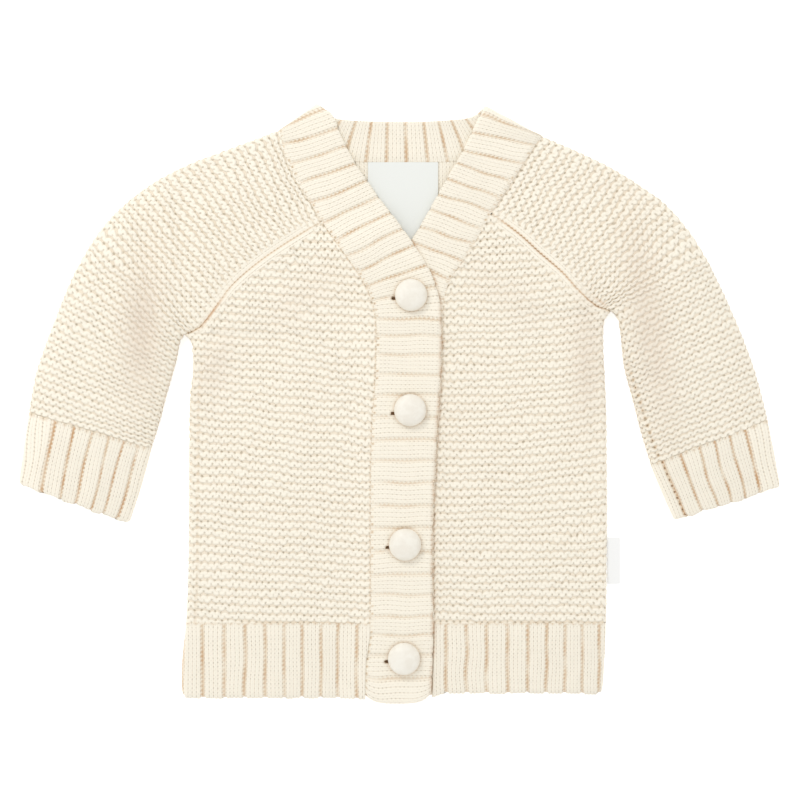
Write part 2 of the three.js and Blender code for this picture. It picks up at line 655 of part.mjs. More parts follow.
// The neckband across the back: it joins the two front bands at the shoulder folds.
const backNeckY = (x) => {
  const middle = (BACK_NECK_RIGHT.x + BACK_NECK_LEFT.x) / 2;
  const half = (BACK_NECK_LEFT.x - BACK_NECK_RIGHT.x) / 2;
  return BACK_NECK_RIGHT.y - BACK_NECK_SAG * (1 - ((x - middle) / half) ** 2) + 2 * SEAM;
};
const BACK_NECKBAND = [
  { seamX: -66.9, seamY: 152.3, freeX: -46.2, freeY: 167.0 },
  { seamX: -57.5, seamY: 145.5, freeX: -40.0, freeY: 161.2 },
  { seamX: -48.0, seamY: backNeckY(-48), freeX: -34.6, freeY: 158.8 },
  { seamX: -31.0, seamY: backNeckY(-31), freeX: -24.0, freeY: 157.8 },
  { seamX: -10.0, seamY: backNeckY(-10), freeX: -9.0, freeY: 157.2 },
  { seamX: 14.0, seamY: backNeckY(14), freeX: 12.0, freeY: 157.2 },
  { seamX: 35.0, seamY: backNeckY(35), freeX: 27.0, freeY: 158.0 },
  { seamX: 52.0, seamY: backNeckY(52), freeX: 37.0, freeY: 159.0 },
  { seamX: 65.6, seamY: 143.8, freeX: 42.6, freeY: 161.0 },
  { seamX: 79.2, seamY: 149.0, freeX: 47.9, freeY: 166.0 },
];
const backNeckband = alongBand(BACK_NECKBAND);

function backNeckbandPiece() {
  const ribs = ribDistances(20, backNeckband.length - 20);
  const distances = [
    ...rollDistances(false),
    { along: RADIUS_OUT + 1, height: 0 },
    ...ribs,
    { along: backNeckband.length - RADIUS_OUT - 1, height: 0 },
    ...rollDistances(true),
  ];
  const options = {
    columns: 2, side: -1, liftOf: () => 0, bulge: 0, ribFace: 'in', ribHeight: INNER_RIB_HEIGHT,
  };
  return bandPiece(backNeckband, distances, options);
}

// Joining and cutting
function toSolid(geometry) {
  const vertProperties = new Float32Array(geometry.getAttribute('position').array);
  const triVerts = new Uint32Array(geometry.getIndex().array);
  return new wasm.Manifold(new wasm.Mesh({ numProp: 3, vertProperties, triVerts }));
}

function fromSolid(solid) {
  const mesh = solid.getMesh();
  return facingOut(Array.from(mesh.vertProperties), Array.from(mesh.triVerts));
}

// A long slot with round ends, cut right through the band.
function buttonholeCutter({ x, y }) {
  const { left, right, halfWidth } = BUTTONHOLE;
  const outline = new THREE.Shape();
  outline.absarc(x + right, y, halfWidth, -Math.PI / 2, Math.PI / 2, false);
  outline.absarc(x - left, y, halfWidth, Math.PI / 2, (3 * Math.PI) / 2, false);
  outline.closePath();
  const depth = 4 * WALL;
  const cut = new THREE.ExtrudeGeometry(outline, { depth, bevelEnabled: false, curveSegments: 4 });
  cut.translate(0, 0, MIDDLE);
  return toSolid(mergedPositions(cut));
}

// Only the corners of a geometry, each of them once.
function mergedPositions(geometry) {
  const source = geometry.index ? geometry.toNonIndexed() : geometry;
  const array = source.getAttribute('position').array;
  const places = new Map();
  const positions = [];
  const faces = [];
  for (let i = 0; i < array.length; i += 3) {
    const name = [array[i], array[i + 1], array[i + 2]].map((n) => n.toFixed(4)).join(' ');
    if (!places.has(name)) {
      places.set(name, positions.length / 3);
      positions.push(array[i], array[i + 1], array[i + 2]);
    }
    faces.push(places.get(name));
  }
  return facingOut(positions, faces);
}

function cutButtonholes(geometry) {
  let solid = toSolid(geometry);
  for (const button of BUTTONS) solid = solid.subtract(buttonholeCutter(button));
  return fromSolid(solid);
}

// A domed button with a shank that goes down through the buttonhole to the band below.
function button({ x, y }) {
  const under = MIDDLE + RADIUS_OUT + LIFT + RIB_HEIGHT + SEAM;
  const foot = MIDDLE + RADIUS_OUT + SEAM;
  const profile = [
    new THREE.Vector2(0, foot),
    new THREE.Vector2(SHANK_RADIUS, foot),
    new THREE.Vector2(SHANK_RADIUS, under),
    new THREE.Vector2(BUTTON_RADIUS * 0.86, under),
  ];
  const DOME_STEPS = 5;
  for (let i = 0; i <= DOME_STEPS; i += 1) {
    const angle = mix(0, Math.PI / 2, i / DOME_STEPS);
    const rise = 1.2 + (BUTTON_HEIGHT - 1.2) * Math.sin(angle);
    profile.push(new THREE.Vector2(i === DOME_STEPS ? 0 : BUTTON_RADIUS * Math.cos(angle) ** 0.8, under + rise));
  }
  const lathe = new THREE.LatheGeometry(profile, 16);
  lathe.rotateX(Math.PI / 2);
  lathe.translate(x, y, 0);
  return mergedPositions(lathe);
}

// A flat woven label as a thin slab.
function slab(left, right, bottom, top, low, high) {
  const box = new THREE.BoxGeometry(right - left, top - bottom, high - low);
  box.translate((left + right) / 2, (bottom + top) / 2, (low + high) / 2);
  return mergedPositions(box);
}

function neckLabel() {
  const low = WALL + SEAM;
  return slab(NECK_LABEL.left, NECK_LABEL.right, NECK_LABEL.bottom, NECK_LABEL.top, low, low + NECK_LABEL.thick);
}

function sideLabel() {
  const left = leftEdge(-60).x + SEAM;
  const half = SIDE_LABEL.thick / 2;
  const { bottom, top, reach } = SIDE_LABEL;
  return slab(left, left + reach, bottom, top, MIDDLE - half, MIDDLE + half);
}

// Materials
const knit = () => new THREE.MeshStandardMaterial({ color: 0xf6ecd9, roughness: 0.95, metalness: 0 });
const shell = () => new THREE.MeshStandardMaterial({ color: 0xefe6da, roughness: 0.55, metalness: 0 });
const tape = () => new THREE.MeshStandardMaterial({ color: 0xf4f5f1, roughness: 0.8, metalness: 0 });

const cardigan = new THREE.Group();
function add(name, geometry, material) {
  const mesh = new THREE.Mesh(geometry, material);
  mesh.name = name;
  cardigan.add(mesh);
}

add('back', back(), knit());
add('back_hem', backHem(), knit());
add('front_right', front(rightFrontSection, rightSleeveRows), knit());
add('front_left', front(leftFrontSection, leftSleeveRows), knit());
add('hem_front_right', frontHem(rightFrontSection), knit());
add('hem_front_left', frontHem(leftFrontSection), knit());
add('sleeve_right', sleeve({
  rows: rightSleeveRows,
  underarm: RIGHT_UNDERARM,
  neck: BACK_NECK_RIGHT,
  raglan: rightRaglan,
  band: buttonholeBand,
}), knit());
add('sleeve_left', sleeve({
  rows: leftSleeveRows,
  underarm: LEFT_UNDERARM,
  neck: BACK_NECK_LEFT,
  raglan: leftRaglan,
  band: buttonBand,
}), knit());
add('cuff_right', cuff(RIGHT_CUFF), knit());
add('cuff_left', cuff(LEFT_CUFF), knit());
add('buttonhole_band', cutButtonholes(buttonholeBandPiece()), knit());
add('button_band', buttonBandPiece(), knit());
add('back_neckband', backNeckbandPiece(), knit());
BUTTONS.forEach((place, i) => add(`button_${i + 1}`, button(place), shell()));
add('neck_label', neckLabel(), tape());
add('side_label', sideLabel(), tape());

export default cardigan;
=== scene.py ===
# %% [markdown]
# # A hand-knit baby cardigan, laid flat
#
# This lesson dresses a plain model of a baby's cardigan in real knitting. The plain model gives every piece
# its place. Here each piece of cloth is made again as a fine sheet on the same form, and its stitches are
# raised on it. We work in Blender's metres, but a knitter thinks in millimetres, so lengths are written in
# millimetres times MM.

# %% Load the frame
import math

import bpy
import numpy as np
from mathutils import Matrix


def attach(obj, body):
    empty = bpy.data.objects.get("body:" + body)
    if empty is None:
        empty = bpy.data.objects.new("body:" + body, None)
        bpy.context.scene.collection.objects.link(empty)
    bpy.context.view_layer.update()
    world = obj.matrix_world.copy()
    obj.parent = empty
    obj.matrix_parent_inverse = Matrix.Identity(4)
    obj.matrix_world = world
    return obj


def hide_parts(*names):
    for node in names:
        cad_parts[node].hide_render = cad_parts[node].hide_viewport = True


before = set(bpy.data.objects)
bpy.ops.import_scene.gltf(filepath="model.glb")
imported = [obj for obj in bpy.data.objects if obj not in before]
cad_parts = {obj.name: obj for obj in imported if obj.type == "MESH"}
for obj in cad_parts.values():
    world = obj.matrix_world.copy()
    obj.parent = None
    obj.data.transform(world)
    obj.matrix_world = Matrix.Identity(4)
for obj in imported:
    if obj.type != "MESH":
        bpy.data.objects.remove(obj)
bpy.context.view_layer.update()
MM = 0.001
print("pieces in the frame:", len(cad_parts))

# %% [markdown]
# ## Camera, table and light
#
# The garment is seen from straight above, as on a shop's page: a long lens well above a white table, soft
# light from all round, and one slightly warmer lamp at the upper left that models the stitches.

# %% Camera, table and light
PHOTO_SPAN = 448 * MM  # what the picture's width covers on the table
PHOTO_CENTRE = (0.3 * MM, 1.7 * MM)
LENS = 85.0
SENSOR = 36.0
TABLE_GLOW = 0.38
WORLD_GLOW = 0.935
KEY_PLACE = (-0.55, 0.75, 0.9)
KEY_SIZE = 0.3
KEY_POWER = 3.6
KEY_COLOUR = (1.0, 0.985, 0.96)


def add_camera():
    data = bpy.data.cameras.new("camera")
    data.lens = LENS
    data.sensor_width = SENSOR
    camera = bpy.data.objects.new("camera", data)
    camera.location = (*PHOTO_CENTRE, PHOTO_SPAN * LENS / SENSOR)
    bpy.context.scene.collection.objects.link(camera)
    bpy.context.scene.camera = camera


def add_area_light(name, place, size, power, colour):
    data = bpy.data.lights.new(name, "AREA")
    data.size = size
    data.energy = power
    data.color = colour
    light = bpy.data.objects.new(name, data)
    light.location = place
    direction = -light.location.normalized()
    light.rotation_euler = direction.to_track_quat("-Z", "Y").to_euler()
    bpy.context.scene.collection.objects.link(light)


def add_table():
    half = 15.0
    mesh = bpy.data.meshes.new("table")
    corners = [(-half, -half, 0), (half, -half, 0), (half, half, 0), (-half, half, 0)]
    mesh.from_pydata(corners, [], [(0, 1, 2, 3)])
    table = bpy.data.objects.new("table", mesh)
    table.location.z = -0.2 * MM
    material = bpy.data.materials.new("table")
    material.use_nodes = True
    surface = material.node_tree.nodes["Principled BSDF"]
    surface.inputs["Base Color"].default_value = (0.9, 0.9, 0.9, 1)
    surface.inputs["Roughness"].default_value = 0.9
    surface.inputs["Emission Color"].default_value = (1, 1, 1, 1)
    surface.inputs["Emission Strength"].default_value = TABLE_GLOW
    mesh.materials.append(material)
    bpy.context.scene.collection.objects.link(table)


def add_world(strength):
    world = bpy.data.worlds.new("studio")
    world.use_nodes = True
    world.node_tree.nodes["Background"].inputs["Color"].default_value = (1, 1, 1, 1)
    world.node_tree.nodes["Background"].inputs["Strength"].default_value = strength
    bpy.context.scene.world = world


add_camera()
add_table()
add_world(WORLD_GLOW)
add_area_light("key", KEY_PLACE, KEY_SIZE, KEY_POWER, KEY_COLOUR)
bpy.context.scene.view_settings.view_transform = "Standard"
print("camera height:", round(PHOTO_SPAN * LENS / SENSOR, 3), "m")

# %% [markdown]
# ## Measures of the cloth
#
# The garment is two layers of cloth: the back on the table, and the fronts on the back. Where the cloth goes
# round an edge it follows a half circle between the two layers. All the tables below are the pattern's own
# measures, in millimetres, with a row for each section of a piece.

# %% Measures
WALL = 2.6
SEAM = 0.3
LAYER_GAP = 1.0
RADIUS_OUT = WALL + LAYER_GAP / 2
RADIUS_IN = LAYER_GAP / 2
MIDDLE = RADIUS_OUT
LIFT = WALL + SEAM
UNDERARM_FADE = 16.0
RIB_PITCH = 10.7
RIB_HEIGHT = 0.9
HEM_BOTTOM = -164.6
HEM_TOP = -122.6
RIGHT_UNDERARM = (-119.6, 38.0)
LEFT_UNDERARM = (118.4, 51.0)
BACK_NECK_RIGHT = (-48.0, 138.4)
BACK_NECK_LEFT = (52.0, 138.4)
BACK_NECK_SAG = 2.6
BAND_BULGE = 5.4
SLEEVE_BODY = 1.7
SLEEVE_RISE = 2.0
EDGE_FADE = 12.0

print("cloth:", WALL, "mm thick, ribs", RIB_PITCH, "mm apart")

# %% Side edges and raglan seams
EDGE_COLUMNS = ("y", "x")
RIGHT_EDGE = [(-165, -119.2), (-162.5, -120.9), (-154, -121.6), (-140, -121.0), (-122, -119.0), (-90, -117.8)]
RIGHT_EDGE += [(0, -117.0), (20, -115.2), (32, -115.7), (35.2, -116.8), (37.0, -118.2), (38, -119.6)]
LEFT_EDGE = [
    (-165, 111.2), (-162.5, 112.9), (-145, 114.2), (-122, 115.2), (-60, 115.8), (0, 115.2), (30, 113.8)
]
LEFT_EDGE += [(44, 114.0), (48.0, 115.2), (50.0, 116.8), (51, 118.4)]
RIGHT_RAGLAN = [
    (38, -119.6), (42, -111.6), (56, -100.8), (66, -93.0), (75, -83.0), (86, -68.0), (101.4, -43.4)
]
LEFT_RAGLAN = [(51, 118.4), (54, 110.0), (63, 99.6), (73, 90.6), (84, 78.0), (94, 67.0), (105.8, 51.2)]

print("underarms at y =", RIGHT_UNDERARM[1], "and", LEFT_UNDERARM[1])

# %% Front bands, from the shoulder down
BAND_COLUMNS = ("seam_x", "seam_y", "free_x", "free_y")
BUTTONHOLE_BAND = [
    (-66.9, 152.3, -46.2, 167.0),
    (-65.4, 143.2, -37.6, 160.6),
    (-61.8, 133.8, -32.6, 149.0),
    (-55.2, 121.6, -24.9, 134.0),
    (-49.6, 111.4, -18.4, 124.6),
    (-43.4, 101.4, -12.6, 116.0),
    (-36.4, 91.4, -5.9, 107.2),
    (-29.6, 81.6, 0.8, 98.2),
    (-22.8, 72.0, 8.2, 87.6),
    (-17.2, 62.0, 16.6, 74.0),
    (-13.8, 51.0, 21.8, 59.0),
    (-12.8, 39.0, 23.2, 43.0),
    (-13.2, 17.0, 22.8, 18.0),
    (-15.4, -16.0, 20.8, -16.0),
    (-16.0, -54.0, 18.8, -54.0),
    (-16.0, -90.0, 18.2, -90.0),
    (-16.4, -126.0, 18.6, -126.0),
    (-19.0, -146.0, 18.2, -146.0),
    (-19.3, -161.6, 17.4, -161.6),
]
BUTTON_BAND = [
    (79.2, 149.0, 47.9, 166.0),
    (74.6, 141.9, 43.4, 157.6),
    (70.0, 134.8, 39.2, 148.6),
    (65.4, 127.6, 34.4, 138.8),
    (58.4, 116.8, 27.4, 126.8),
    (51.2, 105.8, 21.0, 115.4),
    (46.0, 96.6, 15.8, 106.0),
    (40.6, 87.0, 10.4, 96.6),
    (34.6, 78.4, 3.6, 85.6),
    (28.6, 69.4, -3.6, 72.4),
    (25.0, 58.6, -8.6, 58.6),
    (24.0, 43.0, -10.2, 43.0),
    (23.6, 18.0, -10.6, 18.0),
    (21.6, -16.0, -12.4, -16.0),
    (19.6, -54.0, -13.6, -54.0),
    (19.0, -90.0, -13.8, -90.0),
    (19.4, -126.0, -13.6, -126.0),
    (19.0, -146.0, -13.8, -146.0),
    (18.4, -162.6, -14.0, -162.6),
]
print("rows of the bands:", len(BUTTONHOLE_BAND), "and", len(BUTTON_BAND))

# %% Sleeves, in sections that fan out from the cuff to the neck
SLEEVE_COLUMNS = ("number", "out_x", "out_y", "front_x", "front_y")
RIGHT_SLEEVE = [
    (0, -207.0, -5.6, -138.4, -25.6),
    (1, -202.6, 17.4, -134.0, -12.2),
    (2, -194.4, 41.0, -129.6, 4.6),
    (3, -184.0, 67.2, -124.4, 23.0),
    (3.82, -175.2, 83.8, -122.0, 34.6),
    (4, -173.4, 87.0, -119.6, 38.0),
    (5, -163.4, 100.8, -111.6, 42.0),
    (6, -150.8, 113.2, -100.8, 56.0),
    (7, -134.8, 124.4, -89.0, 69.8),
    (8, -117.4, 133.4, -76.4, 79.8),
    (9, -99.6, 140.2, -65.2, 88.0),
    (10, -82.6, 146.4, -54.4, 94.8),
    (11, -66.9, 152.3, -43.4, 101.4),
]
LEFT_SLEEVE = [
    (0, 205.4, -9.6, 140.2, -34.6),
    (1, 200.6, 10.4, 135.4, -19.4),
    (2, 193.6, 31.4, 130.2, 0.6),
    (3, 183.6, 55.4, 125.0, 21.0),
    (3.82, 174.4, 74.8, 122.0, 45.6),
    (4, 172.4, 78.8, 118.4, 51.0),
    (5, 161.4, 96.2, 110.0, 54.0),
    (6, 148.0, 111.4, 101.6, 61.0),
    (7, 133.0, 122.2, 91.8, 71.6),
    (8, 119.0, 130.8, 81.6, 81.2),
    (9, 105.0, 137.8, 71.6, 90.0),
    (10, 91.6, 143.8, 61.6, 98.4),
    (11, 79.2, 149.0, 51.2, 105.8),
]
UNDERARM_ROW = 4
NECK_ROW = 11
RIGHT_CUFF = [
    (0, -207.0, -5.9, -138.5, -25.9), (1, -209.8, -25.6, -144.2, -46.8), (2, -212.5, -45.0, -150.8, -67.0)
]
LEFT_CUFF = [(0, 205.5, -9.9, 140.3, -34.9), (1, 209.2, -28.2, 146.6, -50.4), (2, 212.5, -46.6, 153.4, -65.4)]

print("sections of a sleeve:", len(RIGHT_SLEEVE))

# %% Folds, shaded places and buttons
FOLDS = [
    (-152, 74, 62, 34, 13, -0.9),
    (142, 66, 118, 34, 13, -0.9),
    (-96, 30, 62, 26, 9, 1.0),
    (99, 24, 96, 44, 9, 1.1),
    (-62, -40, 84, 60, 26, 0.8),
    (66, -60, 94, 60, 26, 0.8),
    (-50, 52, 40, 28, 14, 0.8),
    (58, 54, 138, 28, 14, 0.8),
]
CREASES = [
    (-143, 42, 88, 34, 9, -1.7),
    (137, 42, 100, 52, 9, -1.7),
]
SHADES = [
    (-143, 40, 88, 36, 11, 1.0),
    (139, 42, 100, 56, 11, 0.75),
    (104, 24, 90, 36, 9, 0.7),
    (-103, 20, 70, 20, 9, 0.5),
    (-52, 60, 38, 26, 10, 0.3),
    (60, 60, 142, 26, 10, 0.3),
    (-128, -2, 76, 34, 4, 0.3),
    (128, 6, 104, 34, 4, 0.3),
]
# Thin painted shade lines along fine creases at the underarms.
FINE_CREASES = [
    (-104.3, 50.2, 53, 9, 0.7, 0.9),
    (112.0, 56.5, 142, 4, 0.7, 0.5),
]
# Places where the gaps between gathered stitches get darker painted shade.
SHADED_STITCH_GAPS = [
    (110, 55, 40, 16, 9, 1.0),
    (131, 12, 105, 40, 7, 0.9),
    (-37, 92, 60, 22, 9, 0.7),
    (48, 90, 120, 24, 9, 0.8),
    (66, 122, 125, 26, 10, 0.7),
    (-61, 120, 55, 26, 10, 0.6),
    (-112, 46, 60, 16, 8, 0.5),
    (-144, -20, 70, 20, 8, 0.5),
]
BUTTONS = {
    "button_1": (6.4, 59.9), "button_2": (5.9, -3.9), "button_3": (3.1, -78.4), "button_4": (2.5, -141.7)
}
print("folds:", len(FOLDS) + len(CREASES), "and buttons:", len(BUTTONS))

# %% [markdown]
# ## Smooth curves through the tables
#
# A table has few rows, so a smooth curve is led through them. Every column becomes a function of one rising
# key, such as the level y, and takes a whole array of values at once.

# %% Curves through tables


def mix(a, b, t):
    return a + (b - a) * t


def ease(t):
    t = np.clip(t, 0, 1)
    return t * t * (3 - 2 * t)


def through_rows(columns, rows, key):
    table = {name: np.array([row[i] for row in rows], float) for i, name in enumerate(columns)}
    keys = table[key]
    before = np.maximum(np.arange(len(keys)) - 1, 0)
    after = np.minimum(np.arange(len(keys)) + 1, len(keys) - 1)
    slopes = {name: (v[after] - v[before]) / (keys[after] - keys[before]) for name, v in table.items()}

    def at(value):
        value = np.asarray(value, float)
        i = np.clip(np.searchsorted(keys, value, side="left") - 1, 0, len(keys) - 2)
        span = keys[i + 1] - keys[i]
        t = (value - keys[i]) / span
        inside = np.clip(t, 0, 1)
        found = {}
        for name, v in table.items():
            a, b = v[i], v[i + 1]
            ma, mb = slopes[name][i] * span, slopes[name][i + 1] * span
            c = inside
            bent = (2 * c**3 - 3 * c**2 + 1) * a + (c**3 - 2 * c**2 + c) * ma
            bent = bent + (3 * c**2 - 2 * c**3) * b + (c**3 - c**2) * mb
            found[name] = bent + np.where(t < 0, ma * t, 0) + np.where(t > 1, mb * (t - 1), 0)
        return found

    return at


right_edge = through_rows(EDGE_COLUMNS, RIGHT_EDGE, "y")
left_edge = through_rows(EDGE_COLUMNS, LEFT_EDGE, "y")
right_raglan = through_rows(EDGE_COLUMNS, RIGHT_RAGLAN, "y")
left_raglan = through_rows(EDGE_COLUMNS, LEFT_RAGLAN, "y")


class Band:
    """A neckband or placket, by the distance from the shoulder along its middle."""

    def __init__(self, rows):
        middle = np.array([((r[0] + r[2]) / 2, (r[1] + r[3]) / 2) for r in rows])
        along = np.concatenate([[0], np.cumsum(np.linalg.norm(np.diff(middle, axis=0), axis=1))])
        named = [(*row, far) for row, far in zip(rows, along)]
        self.at = through_rows((*BAND_COLUMNS, "along"), named, "along")
        self.length = along[-1]
        fine = np.linspace(0, self.length, 4000)
        seam = self.at(fine)
        self._fine, self._seam_x, self._seam_y = fine, seam["seam_x"], seam["seam_y"]

    def seam_x_at(self, y):
        return np.interp(-np.asarray(y, float), -self._seam_y, self._seam_x)

    def along_at(self, y):
        return np.interp(-np.asarray(y, float), -self._seam_y, self._fine)


buttonhole_band = Band(BUTTONHOLE_BAND)
button_band = Band(BUTTON_BAND)
print("buttonhole band:", round(buttonhole_band.length), "mm along its middle")

# %% [markdown]
# ## Lines on the cloth
#
# Seams are where knitting changes: a raglan seam has a smooth column of stitches on each side of it. To know
# how far a point is from a seam, and how far along it, we step along the line and take the nearest step.

# %% Distances from a line


class Line:
    """A line on the table, for the distance from it and the way along it."""

    STEP = 1.0

    def __init__(self, x, y):
        points = np.stack([np.asarray(x, float), np.asarray(y, float)], axis=-1)
        way = np.concatenate([[0], np.cumsum(np.linalg.norm(np.diff(points, axis=0), axis=1))])
        self.way = np.linspace(0, way[-1], max(3, int(way[-1] / self.STEP)))
        self.points = np.stack([np.interp(self.way, way, points[:, i]) for i in (0, 1)], axis=-1)
        tangent = np.gradient(self.points, axis=0)
        self.tangent = tangent / np.linalg.norm(tangent, axis=1)[:, None]

    def near(self, x, y):
        shape = np.shape(x)
        places = np.stack([np.ravel(x), np.ravel(y)], axis=-1)
        nearest = np.empty(len(places), int)
        for start in range(0, len(places), 20000):
            part = places[start : start + 20000]
            gap = (part[:, None, 0] - self.points[None, :, 0]) ** 2
            gap = gap + (part[:, None, 1] - self.points[None, :, 1]) ** 2
            nearest[start : start + 20000] = gap.argmin(axis=1)
        offset = places - self.points[nearest]
        tangent = self.tangent[nearest]
        along = self.way[nearest] + (offset * tangent).sum(axis=1)
        distance = np.abs(offset[:, 0] * tangent[:, 1] - offset[:, 1] * tangent[:, 0])
        beyond = np.maximum(-along, along - self.way[-1]).clip(0)
        return np.hypot(distance, beyond).reshape(shape), along.reshape(shape)


def wander(x, y, size, seed):
    """A smooth random drift between about -1 and 1, with bumps of about that size."""
    random = np.random.default_rng(seed)
    total = 0
    for _ in range(7):
        turn = random.uniform(0, math.tau)
        wave = math.tau / (size * random.uniform(0.8, 2.2))
        way = x * math.cos(turn) + y * math.sin(turn)
        total = total + np.sin(wave * way + random.uniform(0, math.tau))
    return total / 3.2


LINE_STEPS = 900
right_raglan_y = np.linspace(RIGHT_UNDERARM[1], 101.4, 300)
left_raglan_y = np.linspace(LEFT_UNDERARM[1], 105.8, 300)
lines = {
    "right_raglan": Line(right_raglan(right_raglan_y)["x"], right_raglan_y),
    "left_raglan": Line(left_raglan(left_raglan_y)["x"], left_raglan_y),
}
for name, band in (("buttonhole_band", buttonhole_band), ("button_band", button_band)):
    steps = band.at(np.linspace(0, band.length, LINE_STEPS))
    lines[name] = Line(steps["seam_x"], steps["seam_y"])
placket = buttonhole_band.at(np.linspace(0, buttonhole_band.length, LINE_STEPS))
lines["placket_edge"] = Line(placket["free_x"], placket["free_y"])


def placket_shadow(x, y, seed):
    """The uneven painted shadow line where the edge of the placket lies on the cloth below it."""
    distance, _ = lines["placket_edge"].near(x, y)
    broken = np.clip(0.5 + 0.9 * wander(x, y, 9, seed), 0.12, 1) * (0.7 + 0.3 * np.sin(y * 2.3))
    return np.exp(-((distance / 1.2) ** 2)) * broken


def back_raglan(underarm, neck, y):
    t = (y - underarm[1]) / (neck[1] - underarm[1])
    return mix(underarm[0], neck[0], t) + np.sign(neck[0]) * 6 * t * (1 - t)


for name, underarm, neck in (
    ("right_back_raglan", RIGHT_UNDERARM, BACK_NECK_RIGHT),
    ("left_back_raglan", LEFT_UNDERARM, BACK_NECK_LEFT),
):
    y = np.linspace(underarm[1], neck[1], 300)
    lines[name] = Line(back_raglan(underarm, neck, y), y)
print("seam lines:", ", ".join(lines))

# %% [markdown]
# ## Sheets of cloth
#
# A piece is a shell: a fine grid of points on the face that is seen, a coarser grid on the other face, and
# strips that close the rims between them. The two grids may differ in how many points they have.

# %% From grids to a shell
SEWN_ROUND = 0.2
JOINT = 0.3
SEWN_GAP = -0.22
FREE_ROUND = 1.3


class Grid:
    """One face of a piece: its points in mm, and for every point what its stitches need."""

    def __init__(self, points, rows):
        self.points = points
        self.rows = np.asarray(rows, float)
        middle = points[len(points) // 2]
        way = np.concatenate([[0], np.cumsum(np.linalg.norm(np.diff(middle, axis=0), axis=1))])
        self.columns = way / way[-1]
        shape = points.shape[:2]
        self.stitch = np.zeros((*shape, 3))
        self.column = np.zeros((*shape, 3))
        self.finish = np.zeros((*shape, 3))
        self.shade = np.zeros((*shape, 3))

    def knit(self, stitch_u=0, stitch_v=0, garter=0, column_u=0, column_v=0, columns=0):
        for i, value in enumerate((stitch_u, stitch_v, garter)):
            self.stitch[..., i] = value
        for i, value in enumerate((column_u, column_v, columns)):
            self.column[..., i] = value

    # Relief amount and level, and as third value the painted shade in grooves, seams, joints and holes.
    def relief(self, amount, level, shade_and_tone=0):
        for i, value in enumerate((amount, level, shade_and_tone)):
            self.finish[..., i] = value

    # Painted shade: soft shade over folds, darker gaps between gathered stitches, and shade lines along
    # creases and seams.
    def shadows(self, x, y, line=0):
        line = np.maximum(line, soft_places(x, y, FINE_CREASES))
        for i, value in enumerate((soft_places(x, y, SHADES), soft_places(x, y, SHADED_STITCH_GAPS), line)):
            self.shade[..., i] = value


print("edges rounded by", SEWN_ROUND, "and", FREE_ROUND, "mm")

# %% Faces and rims


def shares(way):
    """Each step of a way as its share of the whole."""
    return (way - way[0]) / (way[-1] - way[0])


def zip_rim(first, second, first_at, second_at, turned):
    steps = sorted([(at, 0) for at in first_at[1:]] + [(at, 1) for at in second_at[1:]])
    i = j = 0
    triangles = []
    for _, which in steps:
        if which == 0:
            corners = (first[i], first[i + 1], second[j])
            i += 1
        else:
            corners = (second[j + 1], second[j], first[i])
            j += 1
        triangles.append(corners[::-1] if turned else corners)
    return triangles


def grid_quads(rows, columns, start, turned):
    r, c = np.meshgrid(np.arange(rows - 1), np.arange(columns - 1), indexing="ij")
    corner = start + r * columns + c
    quads = np.stack([corner, corner + 1, corner + columns + 1, corner + columns], axis=-1).reshape(-1, 4)
    return quads[:, ::-1] if turned else quads


def mesh_from(name, points, quads, triangles):
    mesh = bpy.data.meshes.new(name)
    quads = np.asarray(quads, np.int32).reshape(-1, 4)
    triangles = np.asarray(triangles, np.int32).reshape(-1, 3)
    mesh.vertices.add(len(points))
    mesh.vertices.foreach_set("co", (np.asarray(points) * MM).astype(np.float32).ravel())
    corners = np.concatenate([quads.ravel(), triangles.ravel()])
    mesh.loops.add(len(corners))
    mesh.loops.foreach_set("vertex_index", corners)
    starts = np.concatenate([np.arange(len(quads)) * 4, len(quads) * 4 + np.arange(len(triangles)) * 3])
    mesh.polygons.add(len(starts))
    mesh.polygons.foreach_set("loop_start", starts.astype(np.int32))
    mesh.update(calc_edges=True)
    mesh.validate()
    mesh.shade_smooth()
    return mesh


def enclosed_volume(points, quads, triangles):
    faces = np.concatenate([quads[:, [0, 1, 2]], quads[:, [0, 2, 3]], np.asarray(triangles).reshape(-1, 3)])
    a, b, c = (points[faces[:, i]] for i in range(3))
    return (a * np.cross(b, c)).sum() / 6


def placed(name, mesh):
    piece = bpy.data.objects.new(f"{name}_made", mesh)
    bpy.context.scene.collection.objects.link(piece)
    return piece


def shell(name, outer, inner):
    (r1, c1), (r2, c2) = outer.points.shape[:2], inner.points.shape[:2]
    start = r1 * c1
    points = np.concatenate([outer.points.reshape(-1, 3), inner.points.reshape(-1, 3)])
    quads = np.concatenate([grid_quads(r1, c1, 0, False), grid_quads(r2, c2, start, True)])
    first = np.arange(start).reshape(r1, c1)
    second = start + np.arange(r2 * c2).reshape(r2, c2)
    triangles = zip_rim(first[:, 0], second[:, 0], outer.rows, inner.rows, False)
    triangles += zip_rim(first[:, -1], second[:, -1], outer.rows, inner.rows, True)
    triangles += zip_rim(first[0], second[0], outer.columns, inner.columns, True)
    triangles += zip_rim(first[-1], second[-1], outer.columns, inner.columns, False)
    if enclosed_volume(points, quads, triangles) < 0:
        quads = quads[:, ::-1]
        triangles = [corners[::-1] for corners in triangles]
    mesh = mesh_from(name, points, quads, triangles)
    for word in ("stitch", "column", "finish", "shade"):
        values = np.concatenate([getattr(face, word).reshape(-1, 3) for face in (outer, inner)])
        attribute = mesh.attributes.new(word, "FLOAT_VECTOR", "POINT")
        attribute.data.foreach_set("vector", values.astype(np.float32).ravel())
    return placed(name, mesh)


print("sewn joints overlap by", -SEWN_GAP, "mm")


# %% [markdown]
# Most pieces are made of sections, straight lines from a first edge to a second one. A rolled edge goes round
# a half circle between the two layers, and an edge that is sewn to another flat piece is rounded off instead.

# %% Sections of the cloth


